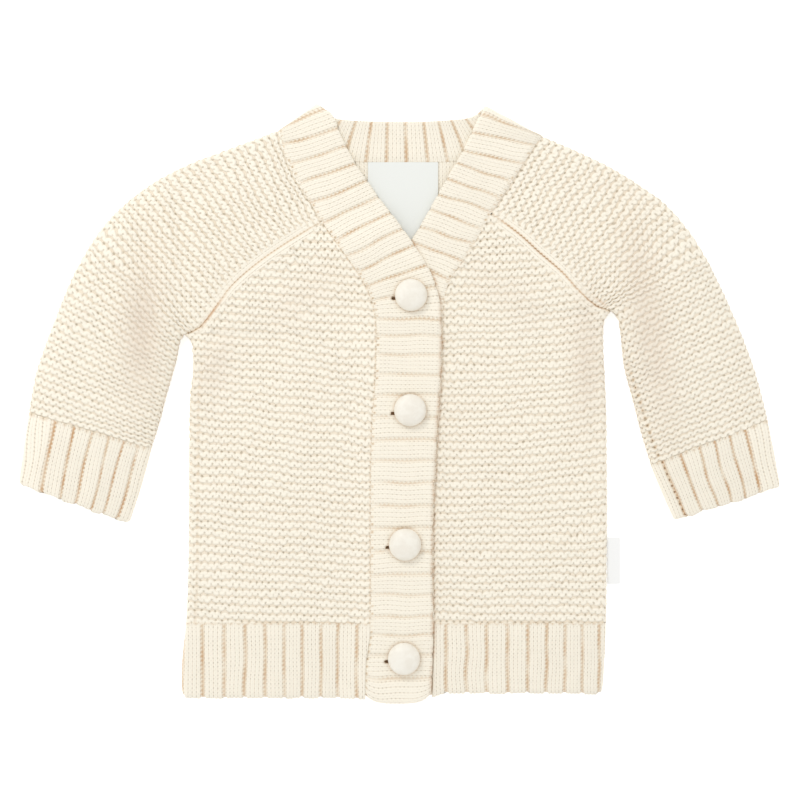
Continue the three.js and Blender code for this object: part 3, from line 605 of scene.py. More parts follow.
class Stations:
    """Steps across a section: round a first fold, over the flat, and round a second fold."""

    ROLL_STEPS = 7

    def __init__(self, flat, first_roll=False, second_roll=False):
        roll = np.linspace(math.pi / 2, 0, self.ROLL_STEPS, endpoint=False)
        first = roll if first_roll else roll[:0]
        second = roll[::-1] if second_roll else roll[:0]
        edge = [np.full(len(first), -1), np.zeros(len(flat)), np.full(len(second), 1)]
        self.edge = np.concatenate(edge).astype(int)
        self.angle = np.concatenate([first, np.zeros(len(flat)), second])
        self.at = np.concatenate([np.zeros(len(first)), flat, np.ones(len(second))])
        self.first_roll, self.second_roll = first_roll, second_roll


NEAR_EDGE = np.array([0, 0.15, 0.4, 0.8, 1.3])


def spaced(start, end, step, fine_start=True, fine_end=True):
    """Values from start to end, closer together where an edge is rounded."""
    length = abs(end - start)
    low = NEAR_EDGE if fine_start else np.array([0.0])
    high = length - (NEAR_EDGE[::-1] if fine_end else np.array([0.0]))
    count = max(2, round((high[0] - low[-1]) / step))
    way = np.concatenate([low[:-1], np.linspace(low[-1], high[0], count + 1), high[1:]])
    return start + way * np.sign(end - start)


def soft_places(x, y, table):
    """Long soft bumps, summed: each row gives a middle, a turn, a length, a width and a height."""
    total = np.zeros_like(x)
    for place_x, place_y, turn, length, width, height in table:
        c, s = math.cos(math.radians(turn)), math.sin(math.radians(turn))
        along = (x - place_x) * c + (y - place_y) * s
        across = (y - place_y) * c - (x - place_x) * s
        total = total + height * np.exp(-((along / length) ** 2) - (across / width) ** 2)
    return total


print("steps round a fold:", Stations.ROLL_STEPS)

# %% Points of a section
FOLD_ROLL = RADIUS_OUT * (1 - np.sin(np.linspace(math.pi / 2, 0, Stations.ROLL_STEPS, endpoint=False)))


def fold_height(x, y):
    on_sleeve = ease((np.abs(x) - 118) / 14)
    beside_bands = ease((np.abs(x - 3) - 24) / 16)
    total = soft_places(x, y, FOLDS) + soft_places(x, y, CREASES) + SLEEVE_RISE * on_sleeve
    return np.maximum(0, total) * beside_bands


def lift_at(seam_y):
    return LIFT * ease((100 - seam_y) / 18)


def round_off(distance, radius=SEWN_ROUND):
    short = np.clip(1 - distance / radius, 0, 1)
    return radius * (1 - np.sqrt(1 - short**2))


def cloth(section, stations, side, face):
    """Points of one face, and their distances from the first and the second edge."""
    a, b = section["a"], section["b"]
    run = b - a
    length = np.hypot(run[:, 0], run[:, 1])[:, None]
    ex, ey = run[:, :1] / length, run[:, 1:] / length
    ones = np.ones(len(a))
    roll_a, roll_b = section.get("roll_a", ones)[:, None], section.get("roll_b", ones)[:, None]
    radius = RADIUS_OUT if face == "out" else RADIUS_IN
    start = np.minimum(RADIUS_OUT, 0.4 * length) * stations.first_roll
    end = np.minimum(RADIUS_OUT, 0.4 * length) * stations.second_roll
    distance = start + (length - start - end) * stations.at[None, :]
    height = np.full_like(distance, radius)
    for which, roll, reach in ((-1, roll_a, start), (1, roll_b, end)):
        picked = stations.edge == which
        if picked.any():
            angle = stations.angle[picked][None, :]
            least = 0 if section.get("closed") and which == 1 else SEAM / 2
            rolled = np.maximum(radius * np.cos(angle), least)
            inward = RADIUS_OUT - np.sqrt(radius**2 - rolled**2)
            from_edge = mix(RADIUS_OUT * (1 - np.sin(angle)), inward, roll) * reach / RADIUS_OUT
            distance[:, picked] = from_edge if which < 0 else length - from_edge
            height[:, picked] = mix(radius, rolled, roll)
    share = distance / length
    bow = section.get("bow", 0 * ones)[:, None] * 4 * share * (1 - share)
    x = a[:, :1] + ex * distance - ey * bow
    y = a[:, 1:] + ey * distance + ex * bow
    if "path" in section:
        x, y = section["path"](share, x, y)
    z = MIDDLE + side * height
    fade_a = 1 - roll_a * (1 - ease(distance / EDGE_FADE)) if stations.first_roll else 1
    fade_b = 1 - roll_b * (1 - ease((length - distance) / EDGE_FADE)) if stations.second_roll else 1
    if side > 0:
        z = z + fold_height(x, y) * fade_a * fade_b
        z = z + section.get("body", 0 * ones)[:, None] * 4 * share * (1 - share) * fade_a * fade_b
        if "lift" in section:
            z = z + section["lift"](length - distance)
    if face == "out":
        from_a = distance + 10 * roll_a if stations.first_roll else distance
        from_b = length - distance + 10 * (roll_b if stations.second_roll else 0)
        ends = round_off(section["from_sewn"][:, None])
        if "from_free" in section:
            ends = np.maximum(ends, round_off(section["from_free"][:, None], FREE_ROUND))
        z = z - side * np.maximum(np.maximum(round_off(from_a), round_off(from_b)), ends)
    return np.stack([x, y, z], axis=-1), distance, length - distance


def level_ends(y):
    """How far each level is from a sewn end of its piece, and from a free one."""
    if y[0] < HEM_TOP - 1:
        return {"from_sewn": HEM_TOP - y, "from_free": y - HEM_BOTTOM}
    return {"from_sewn": np.minimum(y - y[0], y[-1] - y)}


print("cloth:", WALL, "mm thick")

# %% [markdown]
# ## Kinds of knitting
#
# Two stitches are used. Garter stitch covers the body and the sleeves: rows of loops, each row half a stitch
# off the last. Knit columns make the ribs, four of them and then a narrow groove, and two run along every
# seam. A point of the cloth needs its place in the pattern: which stitch along the row, and which row.

# %% Places in the pattern
GARTER_ROW = 4.34
GARTER_STITCH = 3.8
GARTER_RELIEF = 0.66
COLUMN_WIDTH = 2.6
COLUMN_STITCH = 2.17
RIB_STITCH = 2.4
COLUMN_RELIEF = 0.3
SELVEDGE = 3.6
COLUMNS_A_RIB = 5
GROOVE_PART = 0.17
DARKEST_GROOVE = 0.88


def selvedges(
    grid, x, y, stitch_u, stitch_v, edges, amount=GARTER_RELIEF, level=0.5, shown=1, faint=0.3, seam_tone=0.3
):
    """Garter stitch, with two knit columns along each of the edges, given as distance and way along."""
    column_u = np.zeros_like(x)
    column_v = np.zeros_like(x)
    nearest = np.full_like(x, 1e3)
    for distance, along in edges:
        closer = distance < nearest
        nearest = np.minimum(nearest, distance)
        column_u = np.where(closer, distance / COLUMN_WIDTH, column_u)
        column_v = np.where(closer, along / COLUMN_STITCH, column_v)
    weight = shown * (1 - ease((nearest - SELVEDGE + 0.8) / 1.6))
    ridge = ease(nearest / 1.6) * (1 - ease((nearest - SELVEDGE + 1.6) / 2.6))
    groove = 1 - ease(nearest / 1.2)
    grid.knit(stitch_u, stitch_v, 1 - weight, column_u, column_v, 0.7 * weight)
    # Painted shade, dashed, in the groove along the seam, with brown painted shade along it.
    dashes = 0.6 + 0.4 * np.cos(math.tau * column_v)
    shade_and_tone = groove * dashes * mix(faint, 0.7 + 0.62 * seam_tone, shown)
    grid.relief(mix(amount, COLUMN_RELIEF, weight), level, shade_and_tone)
    grid.shadows(x, y, groove * dashes * shown * seam_tone)
    return ridge * shown


def garter_place(x, y, seed):
    """A slight drift of the rows and stitches, as hands make it."""
    return 0.15 * wander(x, y, 24, seed) + 0.1 * wander(x, y, 6, seed + 1)


def rib_profile(rib):
    """Height of a rib, 0 in its groove and 1 on its crest, by its place counted in ribs."""
    off = np.abs(rib - np.round(rib))
    return ease(off / GROOVE_PART)


def joint_dots(rib):
    """Painted shade for small hollows along the joint of the ribs and the garter stitch, one to every second
    column.
    """
    return 0.5 + 0.5 * np.cos(math.tau * (COLUMNS_A_RIB * rib / 2 + 0.25))


def ribs(grid, rib, way, level, weight=1.0, groove_width=0.085, brown=0.25):
    """Knit columns on a grid of ribs: four columns and a narrow groove in each rib."""
    jag = np.sin(math.tau * way / RIB_STITCH)
    jagged = rib + 0.022 * jag
    off = np.abs(jagged - np.round(jagged))
    groove = 1 - ease((off - 0.3 * groove_width) / groove_width)
    x, y = grid.points[..., 0], grid.points[..., 1]
    strength = (0.9 + 0.3 * jag) * (1.0 + 0.4 * wander(x, y, 16, 5))
    place = 0.12 * wander(x, y, 9, 6)
    grid.knit(0, 0, 0, COLUMNS_A_RIB * rib + 0.5, way / RIB_STITCH + place, weight)
    # The third value of the relief is painted shade in the grooves between ribs.
    grid.relief(
        COLUMN_RELIEF * (1 - 0.5 * groove), level, np.clip(groove * strength * 0.8, 0, DARKEST_GROOVE)
    )
    # Brown painted shade along the grooves.
    brown = brown * (0.8 + 0.7 * wander(x, y, 11, 8))
    grid.shadows(x, y, np.clip(groove * strength * brown, 0, 0.9))


print("garter stitch:", GARTER_STITCH, "by", GARTER_ROW, "mm")

# %% [markdown]
# ## The fronts and their ribbed hems
#
# A front is a stack of level sections, from the side edge, and higher up from the raglan seam, to the
# placket. Its rows of garter stitch slope a little, because the garment was laid down by hand.

# %% Fronts
HEM_GROOVES_RIGHT = [-121, -109.5, -97.2, -86.0, -74.8, -64.1, -54.0, -43.4, -34.4, -23.8, -13.4]
HEM_GROOVES_LEFT = [15.6, 26.0, 37.2, 48.4, 60.2, 71.4, 82.0, 92.1, 101.6, 111.2, 121.0]
FRONT_SPAN = 98
BACK_SPAN = 232
NECK_TIP = 0.5
TIP_WIDTH = 0.8
PUCKERS = [
    (-108, 36, 66, 16, 3.4, 0.9),
    (-101, 30, 62, 18, 3.2, 0.8),
    (-113, 22, 78, 18, 3.4, 0.7),
    (104, 38, 104, 16, 4.0, 0.6),
]


def edge_gap(edge, y, amount):
    slope = edge(y + 0.5) - edge(y - 0.5)
    return amount * np.hypot(1, slope)


def front_section(y, edge, raglan, underarm, band, inward):
    """Sections of a front; inward is 1 where they run towards the right of the picture, or else -1."""
    raglan_x = lambda level: raglan(level)["x"]
    above = np.maximum(y, underarm[1])
    on_seam = raglan_x(above) + inward * edge_gap(raglan_x, above, SEWN_GAP)
    outer = np.where(y <= underarm[1], edge(y)["x"], on_seam)
    seam = band.seam_x_at(y) - inward * edge_gap(band.seam_x_at, y, SEWN_GAP)
    width = np.maximum(inward * (seam - outer), TIP_WIDTH)
    return {
        "a": np.stack([outer, y], axis=-1),
        "b": np.stack([outer + inward * width, y], axis=-1),
        "roll_a": 1 - ease((y - underarm[1]) / UNDERARM_FADE),
        **level_ends(y),
    }


def right_front_section(y):
    section = front_section(y, right_edge, right_raglan, RIGHT_UNDERARM, buttonhole_band, 1)
    section["lift"] = lambda from_seam: lift_at(y)[:, None] * (1 - ease(from_seam / 14))
    return section


def left_front_section(y):
    return front_section(y, left_edge, left_raglan, LEFT_UNDERARM, button_band, -1)


def right_front_rows(x, y):
    tilt = np.interp(y, [-125, -20, 60, 100], [0.035, 0.12, 0.09, 0.03])
    return (y + tilt * (x + 70)) / GARTER_ROW


def left_front_rows(x, y):
    rise = 0.2 * ease((y + 120) / 130) * np.clip(x - 45, 0, None) ** 2 / 130
    return (y - rise) / GARTER_ROW


def coarse(section_at, way, flat, side, first_roll=True, second_roll=False):
    section = section_at(way)
    points, _, _ = cloth(section, Stations(flat, first_roll, second_roll), side, "in")
    return Grid(points, shares(way))


print("ribs of the hems:", len(HEM_GROOVES_RIGHT), "and", len(HEM_GROOVES_LEFT))

# %% Garter stitch on a front


def front(name, section_at, rows_at, top, edges, faint, seam_tone, seed):
    y = spaced(HEM_TOP - JOINT, top - NECK_TIP, 0.62)
    stations = Stations(spaced(0, FRONT_SPAN, 0.85, fine_start=False) / FRONT_SPAN, first_roll=True)
    points, _, _ = cloth(section_at(y), stations, 1, "out")
    outer = Grid(points, shares(y))
    px, py = points[..., 0], points[..., 1]
    drift = garter_place(px, py, seed)
    stitch_u = px / GARTER_STITCH + garter_place(px, py, seed + 7)
    near = [lines[edge].near(px, py) for edge in edges]
    hem = np.abs(py - HEM_TOP)
    from_band = lines[edges[0]].way[-1] - near[0][1]
    shown = mix(0.5 * ease(near[0][1] / 6), 1, ease((near[0][1] - 22) / 22))
    shown = shown * mix(0.3, 1, ease((from_band - 5) / 7)) * (near[0][0] < near[1][0])
    stitch_v = rows_at(px, py) + drift
    look = {"shown": shown, "faint": faint, "seam_tone": seam_tone}
    ridge = selvedges(outer, px, py, stitch_u, stitch_v, near, **look)
    # Painted shade along the joint with the hem.
    outer.finish[..., 2] += 0.3 * (1 - ease(hem / 0.9))
    outer.shade[..., 2] = np.maximum(outer.shade[..., 2], placket_shadow(px, py, seed + 4))
    if px.mean() < 0:
        # Painted shade in the dashed underarm seam.
        from_line = (px - right_edge(py)["x"] - 5.2) / 0.8
        dashes = 0.6 + 0.4 * np.cos(math.tau * py / GARTER_ROW)
        outer.finish[..., 2] += 0.4 * np.exp(-(from_line**2)) * dashes * (1 - ease((py - 10) / 20))
    points[..., 2] += 0.4 * ridge + soft_places(px, py, PUCKERS) + 0.25 * wander(px, py, 30, seed + 3)
    inner = coarse(section_at, np.linspace(y[0], y[-1], 30), np.linspace(0, 1, 12), 1)
    return shell(name, outer, inner)


print("puckers at the underarms:", len(PUCKERS))

# %% Ribs on a hem


def hem_rise(x, y):
    """The hem on the garment's left hangs a little higher."""
    return 2.6 * ease((x - 16) / 10) * (1 - ease((y - HEM_BOTTOM) / 30))


def front_hem(name, section_at, grooves, seed):
    y = spaced(HEM_BOTTOM, HEM_TOP, 0.6)
    stations = Stations(spaced(0, FRONT_SPAN, 0.55, fine_start=False) / FRONT_SPAN, first_roll=True)
    points, _, _ = cloth(section_at(y), stations, 1, "out")
    outer = Grid(points, shares(y))
    px, py = points[..., 0], points[..., 1]
    rib = np.interp(px + 0.35 * wander(px, py, 25, seed), grooves, np.arange(len(grooves)))
    ribs(outer, rib, py + 0.4 * wander(px, py, 20, seed + 1), 0.5)
    profile = rib_profile(rib)
    bottom = ease((py - HEM_BOTTOM) / 3)
    top = ease((HEM_TOP - py) / 7)
    rise = RIB_HEIGHT * profile * mix(0.5, 1, bottom) * mix(0.25, 1, top)
    points[..., 2] += rise + 0.15 * wander(px, py, 30, seed + 3)
    low = 1 - ease((py - HEM_BOTTOM) / 4)
    loop = np.abs((COLUMNS_A_RIB * rib) % 1 - 0.5) * 2
    # Painted shade in small hollows where the ribs meet the garter stitch.
    top_dots = (1 - ease((HEM_TOP - py) / 1.6)) * joint_dots(rib)
    outer.finish[..., 2] = np.maximum(outer.finish[..., 2], 0.65 * top_dots)
    outer.shade[..., 2] = np.maximum(outer.shade[..., 2], placket_shadow(px, py, seed + 4))
    points[..., 1] += low * (1.0 * (1 - profile) + 0.5 * (1 - loop) ** 2 + 0.3 * wander(px, py, 14, seed + 5))
    inner = coarse(section_at, np.linspace(y[0], y[-1], 8), np.linspace(0, 1, 20), 1)
    inner.points[0, :, 1] += 1.6
    for grid in (outer, inner):
        grid.points[..., 1] += hem_rise(grid.points[..., 0], grid.points[..., 1])
    return shell(name, outer, inner)


print("hem:", HEM_TOP - HEM_BOTTOM, "mm deep")

# %% Make the fronts
pieces = {}
pieces["front_right"] = front(
    "front_right",
    right_front_section,
    right_front_rows,
    101.4,
    ("right_raglan", "buttonhole_band"),
    0.75,
    0.35,
    10,
)
pieces["front_left"] = front(
    "front_left", left_front_section, left_front_rows, 105.8, ("left_raglan", "button_band"), 0.35, 1.0, 20
)
pieces["hem_front_right"] = front_hem("hem_front_right", right_front_section, HEM_GROOVES_RIGHT, 30)
pieces["hem_front_left"] = front_hem("hem_front_left", left_front_section, HEM_GROOVES_LEFT, 40)
for name in pieces:
    print(name, len(pieces[name].data.polygons), "faces")

# %% [markdown]
# ## The back
#
# The back lies on the table, so the crests of its stitches touch the table and everything else lies higher.
# Its inside shows in the V of the neck, so that part of the inner face gets stitches too.

# %% Back and its hem


def back_section(y):
    def side(edge, underarm, neck, inward):
        above = np.maximum(y, underarm[1])
        return np.where(
            y <= underarm[1], edge(y)["x"], back_raglan(underarm, neck, above) + inward * SEWN_GAP
        )

    last = ease((y - 120) / 18)
    return {
        "a": np.stack([side(right_edge, RIGHT_UNDERARM, BACK_NECK_RIGHT, 1), y], axis=-1),
        "b": np.stack([side(left_edge, LEFT_UNDERARM, BACK_NECK_LEFT, -1), y], axis=-1),
        "roll_a": 1 - ease((y - RIGHT_UNDERARM[1]) / UNDERARM_FADE),
        "roll_b": 1 - ease((y - LEFT_UNDERARM[1]) / UNDERARM_FADE),
        "bow": -BACK_NECK_SAG * last,
        **level_ends(y),
    }


def back():
    y = spaced(HEM_TOP - JOINT, BACK_NECK_RIGHT[1], 0.95)
    stations = Stations(spaced(0, BACK_SPAN, 1.35, False, False) / BACK_SPAN, True, True)
    points, _, _ = cloth(back_section(y), stations, -1, "out")
    outer = Grid(points, shares(y))
    px, py = points[..., 0], points[..., 1]
    edges = ("right_back_raglan", "left_back_raglan")
    near = [lines[edge].near(px, py) for edge in edges]
    rows = py / GARTER_ROW + garter_place(px, py, 51)
    selvedges(outer, px, py, px / GARTER_STITCH + garter_place(px, py, 57), rows, near, level=1.0)

    fine = spaced(74, y[-1], 0.62, False, True)
    inside = np.concatenate([np.linspace(y[0], fine[0], 24, endpoint=False), fine])
    points, _, _ = cloth(back_section(inside), Stations(np.linspace(0, 1, 160), True, True), -1, "in")
    inner = Grid(points, shares(inside))
    px, py = points[..., 0], points[..., 1]
    shown = ease((py - 74) / 4)
    drift = garter_place(px, py, 61)
    inner.knit(0, 0, 0, (px + 0.1 * np.abs(px - 2)) / 2.2 + 0.3 * drift, py / RIB_STITCH + drift, 0.9 * shown)
    inner.relief(COLUMN_RELIEF * shown, 0.9)
    return shell("back", outer, inner)


def back_hem():
    y = spaced(HEM_BOTTOM, HEM_TOP, 0.8)
    stations = Stations(spaced(0, BACK_SPAN, 0.9, False, False) / BACK_SPAN, True, True)
    points, _, _ = cloth(back_section(y), stations, -1, "out")
    outer = Grid(points, shares(y))
    px, py = points[..., 0], points[..., 1]
    rib = px / RIB_PITCH
    ribs(outer, rib, py, 1.0)
    flat = 1 - ease(points[..., 2] / 1.5)
    points[..., 2] += RIB_HEIGHT * (1 - rib_profile(rib)) * flat
    inner = coarse(back_section, np.linspace(y[0], y[-1], 8), np.linspace(0, 1, 40), -1, True, True)
    for grid in (outer, inner):
        low = 1 - ease((grid.points[..., 1] - HEM_BOTTOM) / 6)
        grid.points[..., 1] += hem_rise(grid.points[..., 0], grid.points[..., 1]) + 1.2 * low
    return shell("back_hem", outer, inner)


pieces["back"] = back()
pieces["back_hem"] = back_hem()
print("back:", len(pieces["back"].data.polygons), "faces")

# %% [markdown]
# ## The sleeves and their cuffs
#
# A sleeve is one sheet that starts at the front seam, goes over the top, round the folded outer edge and back
# underneath. Its rows of stitches fan out with its sections. A cuff is made the same way, in ribs.

# %% Sleeves and cuffs
SLEEVE_PITCH = ((0, 3.4), (4, 3.7), (7, 4.1), (11, 4.2))
SLEEVE_STITCH = 4.1
LEFT_SEAM_SHIFT = 5.2
CUFF_CORNER = 2.4
CUFF_GROOVES_RIGHT = [0, 0.1, 0.22, 0.335, 0.48, 0.616, 0.775, 1]
CUFF_GROOVES_LEFT = [0, 0.1, 0.25, 0.4, 0.526, 0.66, 0.797, 1]
RIB_BEFORE = 0.65
RIB_AFTER = 0.8
# Places where the valleys between rows get painted shade.
ROW_VALLEY_SHADES = [
    (-136, 88, 52, 46, 26, 1.0),
    (-142, 40, 70, 22, 16, 0.7),
    (-92, 104, 40, 30, 18, 0.5),
    (138, 66, 105, 42, 15, 1.0),
    (112, 108, 145, 36, 20, 0.5),
]


def sleeve_sections(shape, p):
    row = shape["table"](p)
    underarm, neck, band = shape["underarm"], shape["neck"], shape["band"]
    turn = np.sign(neck[0])
    above = np.clip((p - UNDERARM_ROW) / (NECK_ROW - UNDERARM_ROW), 0, 1)
    raglan = lambda level: shape["raglan"](level)["x"]
    front_y = row["front_y"]
    back_y = np.where(above > 0, mix(underarm[1], neck[1], above), front_y)
    back_x = np.where(
        above > 0, back_raglan(underarm, neck, back_y) + turn * SEWN_GAP, row["front_x"] + turn * 0.25
    )
    high = np.maximum(front_y, underarm[1] + 0.5)
    front_x = np.where(
        above > 0, raglan(high) + turn * edge_gap(raglan, high, SEWN_GAP), row["front_x"] + turn * 0.25
    )
    out = np.stack([row["out_x"], row["out_y"]], axis=-1)
    progress = p / NECK_ROW
    last = shape["table"](float(NECK_ROW))
    top_along = band.along_at(last["front_y"])

    def beside_band(share, x, y):
        blend = np.clip((p - 10.4) / 0.6, 0, 1)[:, None]
        seam = band.at(mix(top_along, 0, share))
        bent_x = seam["seam_x"] - mix(last["front_x"], last["out_x"], share)
        bent_y = seam["seam_y"] - mix(last["front_y"], last["out_y"], share)
        return x + blend * bent_x, y + blend * bent_y

    way = np.minimum(p, NECK_ROW - p) * 18
    upper = {
        "a": np.stack([front_x, front_y], axis=-1),
        "b": out,
        "roll_a": np.where(above > 0, 1 - ease((front_y - underarm[1]) / UNDERARM_FADE), 1),
        "closed": True,
        "body": SLEEVE_BODY * 4 * progress * (1 - progress),
        "path": beside_band,
        "from_sewn": way,
    }
    lower = {
        "a": np.stack([back_x, back_y], axis=-1),
        "b": out,
        "roll_a": np.where(above > 0, 1 - ease((back_y - underarm[1]) / UNDERARM_FADE), 1),
        "closed": True,
        "from_sewn": way,
    }
    return upper, lower


print("a stitch of a sleeve:", SLEEVE_STITCH, "mm")

# %% Once round a folded piece


def ring(upper, lower, upper_flat, lower_flat, face):
    """The points once round a folded piece, and where its upper part ends."""
    top_stations = Stations(upper_flat, True, True)
    under_stations = Stations(lower_flat, True, True)
    top, top_a, top_b = cloth(upper, top_stations, 1, face)
    under, under_a, under_b = cloth(lower, under_stations, -1, face)
    points = np.concatenate([top, under[:, ::-1][:, 1:]], axis=1)
    from_a = np.concatenate([top_a, under_a[:, ::-1][:, 1:]], axis=1)
    from_b = np.concatenate([top_b, under_b[:, ::-1][:, 1:]], axis=1)
    return points, from_a, from_b, top.shape[1]


def way_round(points, fold):
    """The distance round each row of a grid, from the fold."""
    steps = np.linalg.norm(np.diff(points, axis=1), axis=2)
    way = np.concatenate([np.zeros((len(points), 1)), np.cumsum(steps, axis=1)], axis=1)
    return way - way[:, fold - 1][:, None]


print("rings: over the top, round the fold and back underneath")

# %% Garter stitch on a sleeve


def sleeve(name, shape, seed):
    p = np.concatenate(
        [[0, 0.008, 0.022, 0.044], np.linspace(0.07, 10.93, 345), [10.956, 10.978, 10.992, 11]]
    )
    upper, lower = sleeve_sections(shape, p)
    points, from_a, _, fold = ring(upper, lower, np.linspace(0, 1, 92), np.linspace(0, 1, 46), "out")
    outer = Grid(points, p / NECK_ROW)
    px, py, pz = points[..., 0].copy(), points[..., 1].copy(), points[..., 2].copy()
    level = mix(1.0, 0.5, ease(pz / 5))
    middle = mix(upper["a"], upper["b"], 0.5)
    step = np.concatenate([[0], np.linalg.norm(np.diff(middle, axis=0), axis=1)])
    rows = np.cumsum(step / np.interp(p, *zip(*SLEEVE_PITCH)))[:, None]
    columns = np.arange(points.shape[1])[None, :]
    on_top = columns < fold
    around = way_round(points, fold)
    front_line = Line(upper["a"][:, 0], upper["a"][:, 1])
    back_line = Line(lower["a"][:, 0], lower["a"][:, 1])
    near_front = front_line.near(px, py)
    near_back = back_line.near(px, py)
    far = 99.0
    near = [
        (np.where(on_top, near_front[0], far), near_front[1]),
        (np.where(on_top, far, near_back[0]), near_back[1]),
    ]
    rows = rows + garter_place(px, py, seed) + 0 * px
    stitch = around / SLEEVE_STITCH + garter_place(px, py, seed + 7)
    shown = mix(0.5 * ease((p - 4) / 0.6), 1, ease((p - 5.6) / 2.4)) * mix(0.3, 1, ease((10.5 - p) / 0.6))
    shown = shown[:, None] * np.ones_like(px)
    seam_tone = 0.3 + 0.7 * (shape["seam_shift"] > 0)
    ridge = selvedges(outer, px, py, stitch, rows, near, level=level, shown=shown, seam_tone=seam_tone)
    # Painted shade in the valleys between the rows, where the rows show as dark stripes.
    valley = np.exp(-((((rows + 0.5) % 1 - 0.5) / 0.15) ** 2))
    outer.finish[..., 2] += 0.2 * valley * on_top * np.clip(soft_places(px, py, ROW_VALLEY_SHADES), 0, 1)
    # Painted shade in the dashed underarm seam.
    if shape["seam_shift"]:
        from_seam = near_front[0] - np.interp(p, [0, 3], [shape["seam_shift"], 2.4])[:, None]
        dash = (0.5 + 0.5 * np.cos(math.tau * near_front[1] / 4.4)) ** 2
        underarm_seam = np.exp(-((from_seam / 0.9) ** 2)) * dash * on_top
        underarm_seam = underarm_seam * (1 - ease((p - 2.4) / 1.0))[:, None]
        outer.finish[..., 2] = np.maximum(outer.finish[..., 2], 1.3 * underarm_seam)
    low = mix(1, 0, ease(pz / 5))
    points[..., 2] += (0.4 * ridge + 0.25 * wander(px, py, 30, seed + 3)) * (1 - low) * ease(from_a / 6)
    points[..., 2] += soft_places(px, py, PUCKERS) * on_top * ease((pz - 3.2) / 3)
    towards_band = points[-1] - points[-5]
    towards_band /= np.linalg.norm(towards_band, axis=1)[:, None]
    points[-3:, :, :2] += 0.4 * towards_band[None, :, :2]
    coarse_p = np.linspace(0, NECK_ROW, 45)
    upper, lower = sleeve_sections(shape, coarse_p)
    inside, _, _, _ = ring(upper, lower, np.linspace(0, 1, 12), np.linspace(0, 1, 8), "in")
    return shell(name, outer, Grid(inside, coarse_p / NECK_ROW))


print("underarm seam, from the front edge:", LEFT_SEAM_SHIFT, "mm")

# %% Ribs on a cuff


def cuff(name, table, grooves, shift, seed):
    p = np.concatenate([[-0.03, -0.015, 0.01, 0.035], np.linspace(0.07, 1.93, 66), [1.955, 1.975, 1.99, 2]])

    def sections(way):
        row = table(way)
        a = np.stack([row["front_x"], row["front_y"]], axis=-1)
        b = np.stack([row["out_x"], row["out_y"]], axis=-1)
        corner = (round_off((2 - way) * 20, CUFF_CORNER) / np.linalg.norm(b - a, axis=1))[:, None]
        edges = {
            "a": a + corner * (b - a),
            "b": b - corner * (b - a),
            "closed": True,
            "from_sewn": (way - way[0]) * 20,
            "from_free": (2 - way) * 20,
        }
        return edges, dict(edges)

    upper, lower = sections(p)
    points, from_a, from_b, fold = ring(upper, lower, np.linspace(0, 1, 124), np.linspace(0, 1, 62), "out")
    outer = Grid(points, p / 2)
    px, py, pz = points[..., 0].copy(), points[..., 1].copy(), points[..., 2].copy()
    share = from_a / (from_a + from_b)
    numbers = np.arange(len(grooves), dtype=float)
    numbers[0] += 1 - RIB_BEFORE
    numbers[-1] += RIB_AFTER - 1
    rib = np.interp(share, grooves, numbers)
    rib = rib + 0.05 * wander(px, py, 18, seed)
    level = mix(1.0, 0.5, ease(pz / 5))
    way = (p * 20.5)[:, None] + 0.4 * wander(px, py, 20, seed + 1)
    ribs(outer, rib, way, level, 1.0, 0.07, 0.65)
    # Painted shade in small hollows along the top of the cuff.
    top_dots = (1 - ease(p / 0.09))[:, None] * joint_dots(rib)
    outer.finish[..., 2] = np.maximum(outer.finish[..., 2], 0.45 * top_dots)
    profile = rib_profile(rib)
    inner_edge = ease(from_a / 2.0)
    up = ease((pz - 4) / 2)
    points[..., 2] += RIB_HEIGHT * profile * up * inner_edge * mix(0.25, 1, ease(p / 0.35))[:, None]
    points[..., 2] += RIB_HEIGHT * (1 - profile) * (1 - ease(pz / 1.5))
    # Darker painted shade in the cuff's grooves.
    outer.finish[..., 2] = np.minimum(outer.finish[..., 2] * 1.25, DARKEST_GROOVE)
    outward = points[-1, :, :2] - points[0, :, :2]
    outward = outward / np.linalg.norm(outward, axis=1)[:, None]
    uneven = (0.9 * (1 - profile) - 0.5 * wander(px, py, 12, seed + 2)) * ease((p - 1.75) / 0.25)[:, None]
    points[..., :2] -= uneven[..., None] * outward[None]
    # Painted shade in the dashed underarm seam.
    if shift:
        on_top = np.arange(points.shape[1])[None, :] < fold
        dash = (0.5 + 0.5 * np.cos(math.tau * way / 4.4)) ** 2
        seam = np.exp(-(((from_a - shift - 1) / 0.8) ** 2)) * on_top * (0.3 + 1.1 * dash)
        outer.finish[..., 2] = np.maximum(outer.finish[..., 2], seam)
    upper, lower = sections(np.linspace(0, 2, 9))
    inside, _, _, _ = ring(upper, lower, np.linspace(0, 1, 12), np.linspace(0, 1, 8), "in")
    inside[-1, :, :2] -= 1.3 * outward.mean(axis=0)
    return shell(name, outer, Grid(inside, np.linspace(0, 1, 9)))


print("ribs of a cuff:", len(CUFF_GROOVES_RIGHT) - 1)

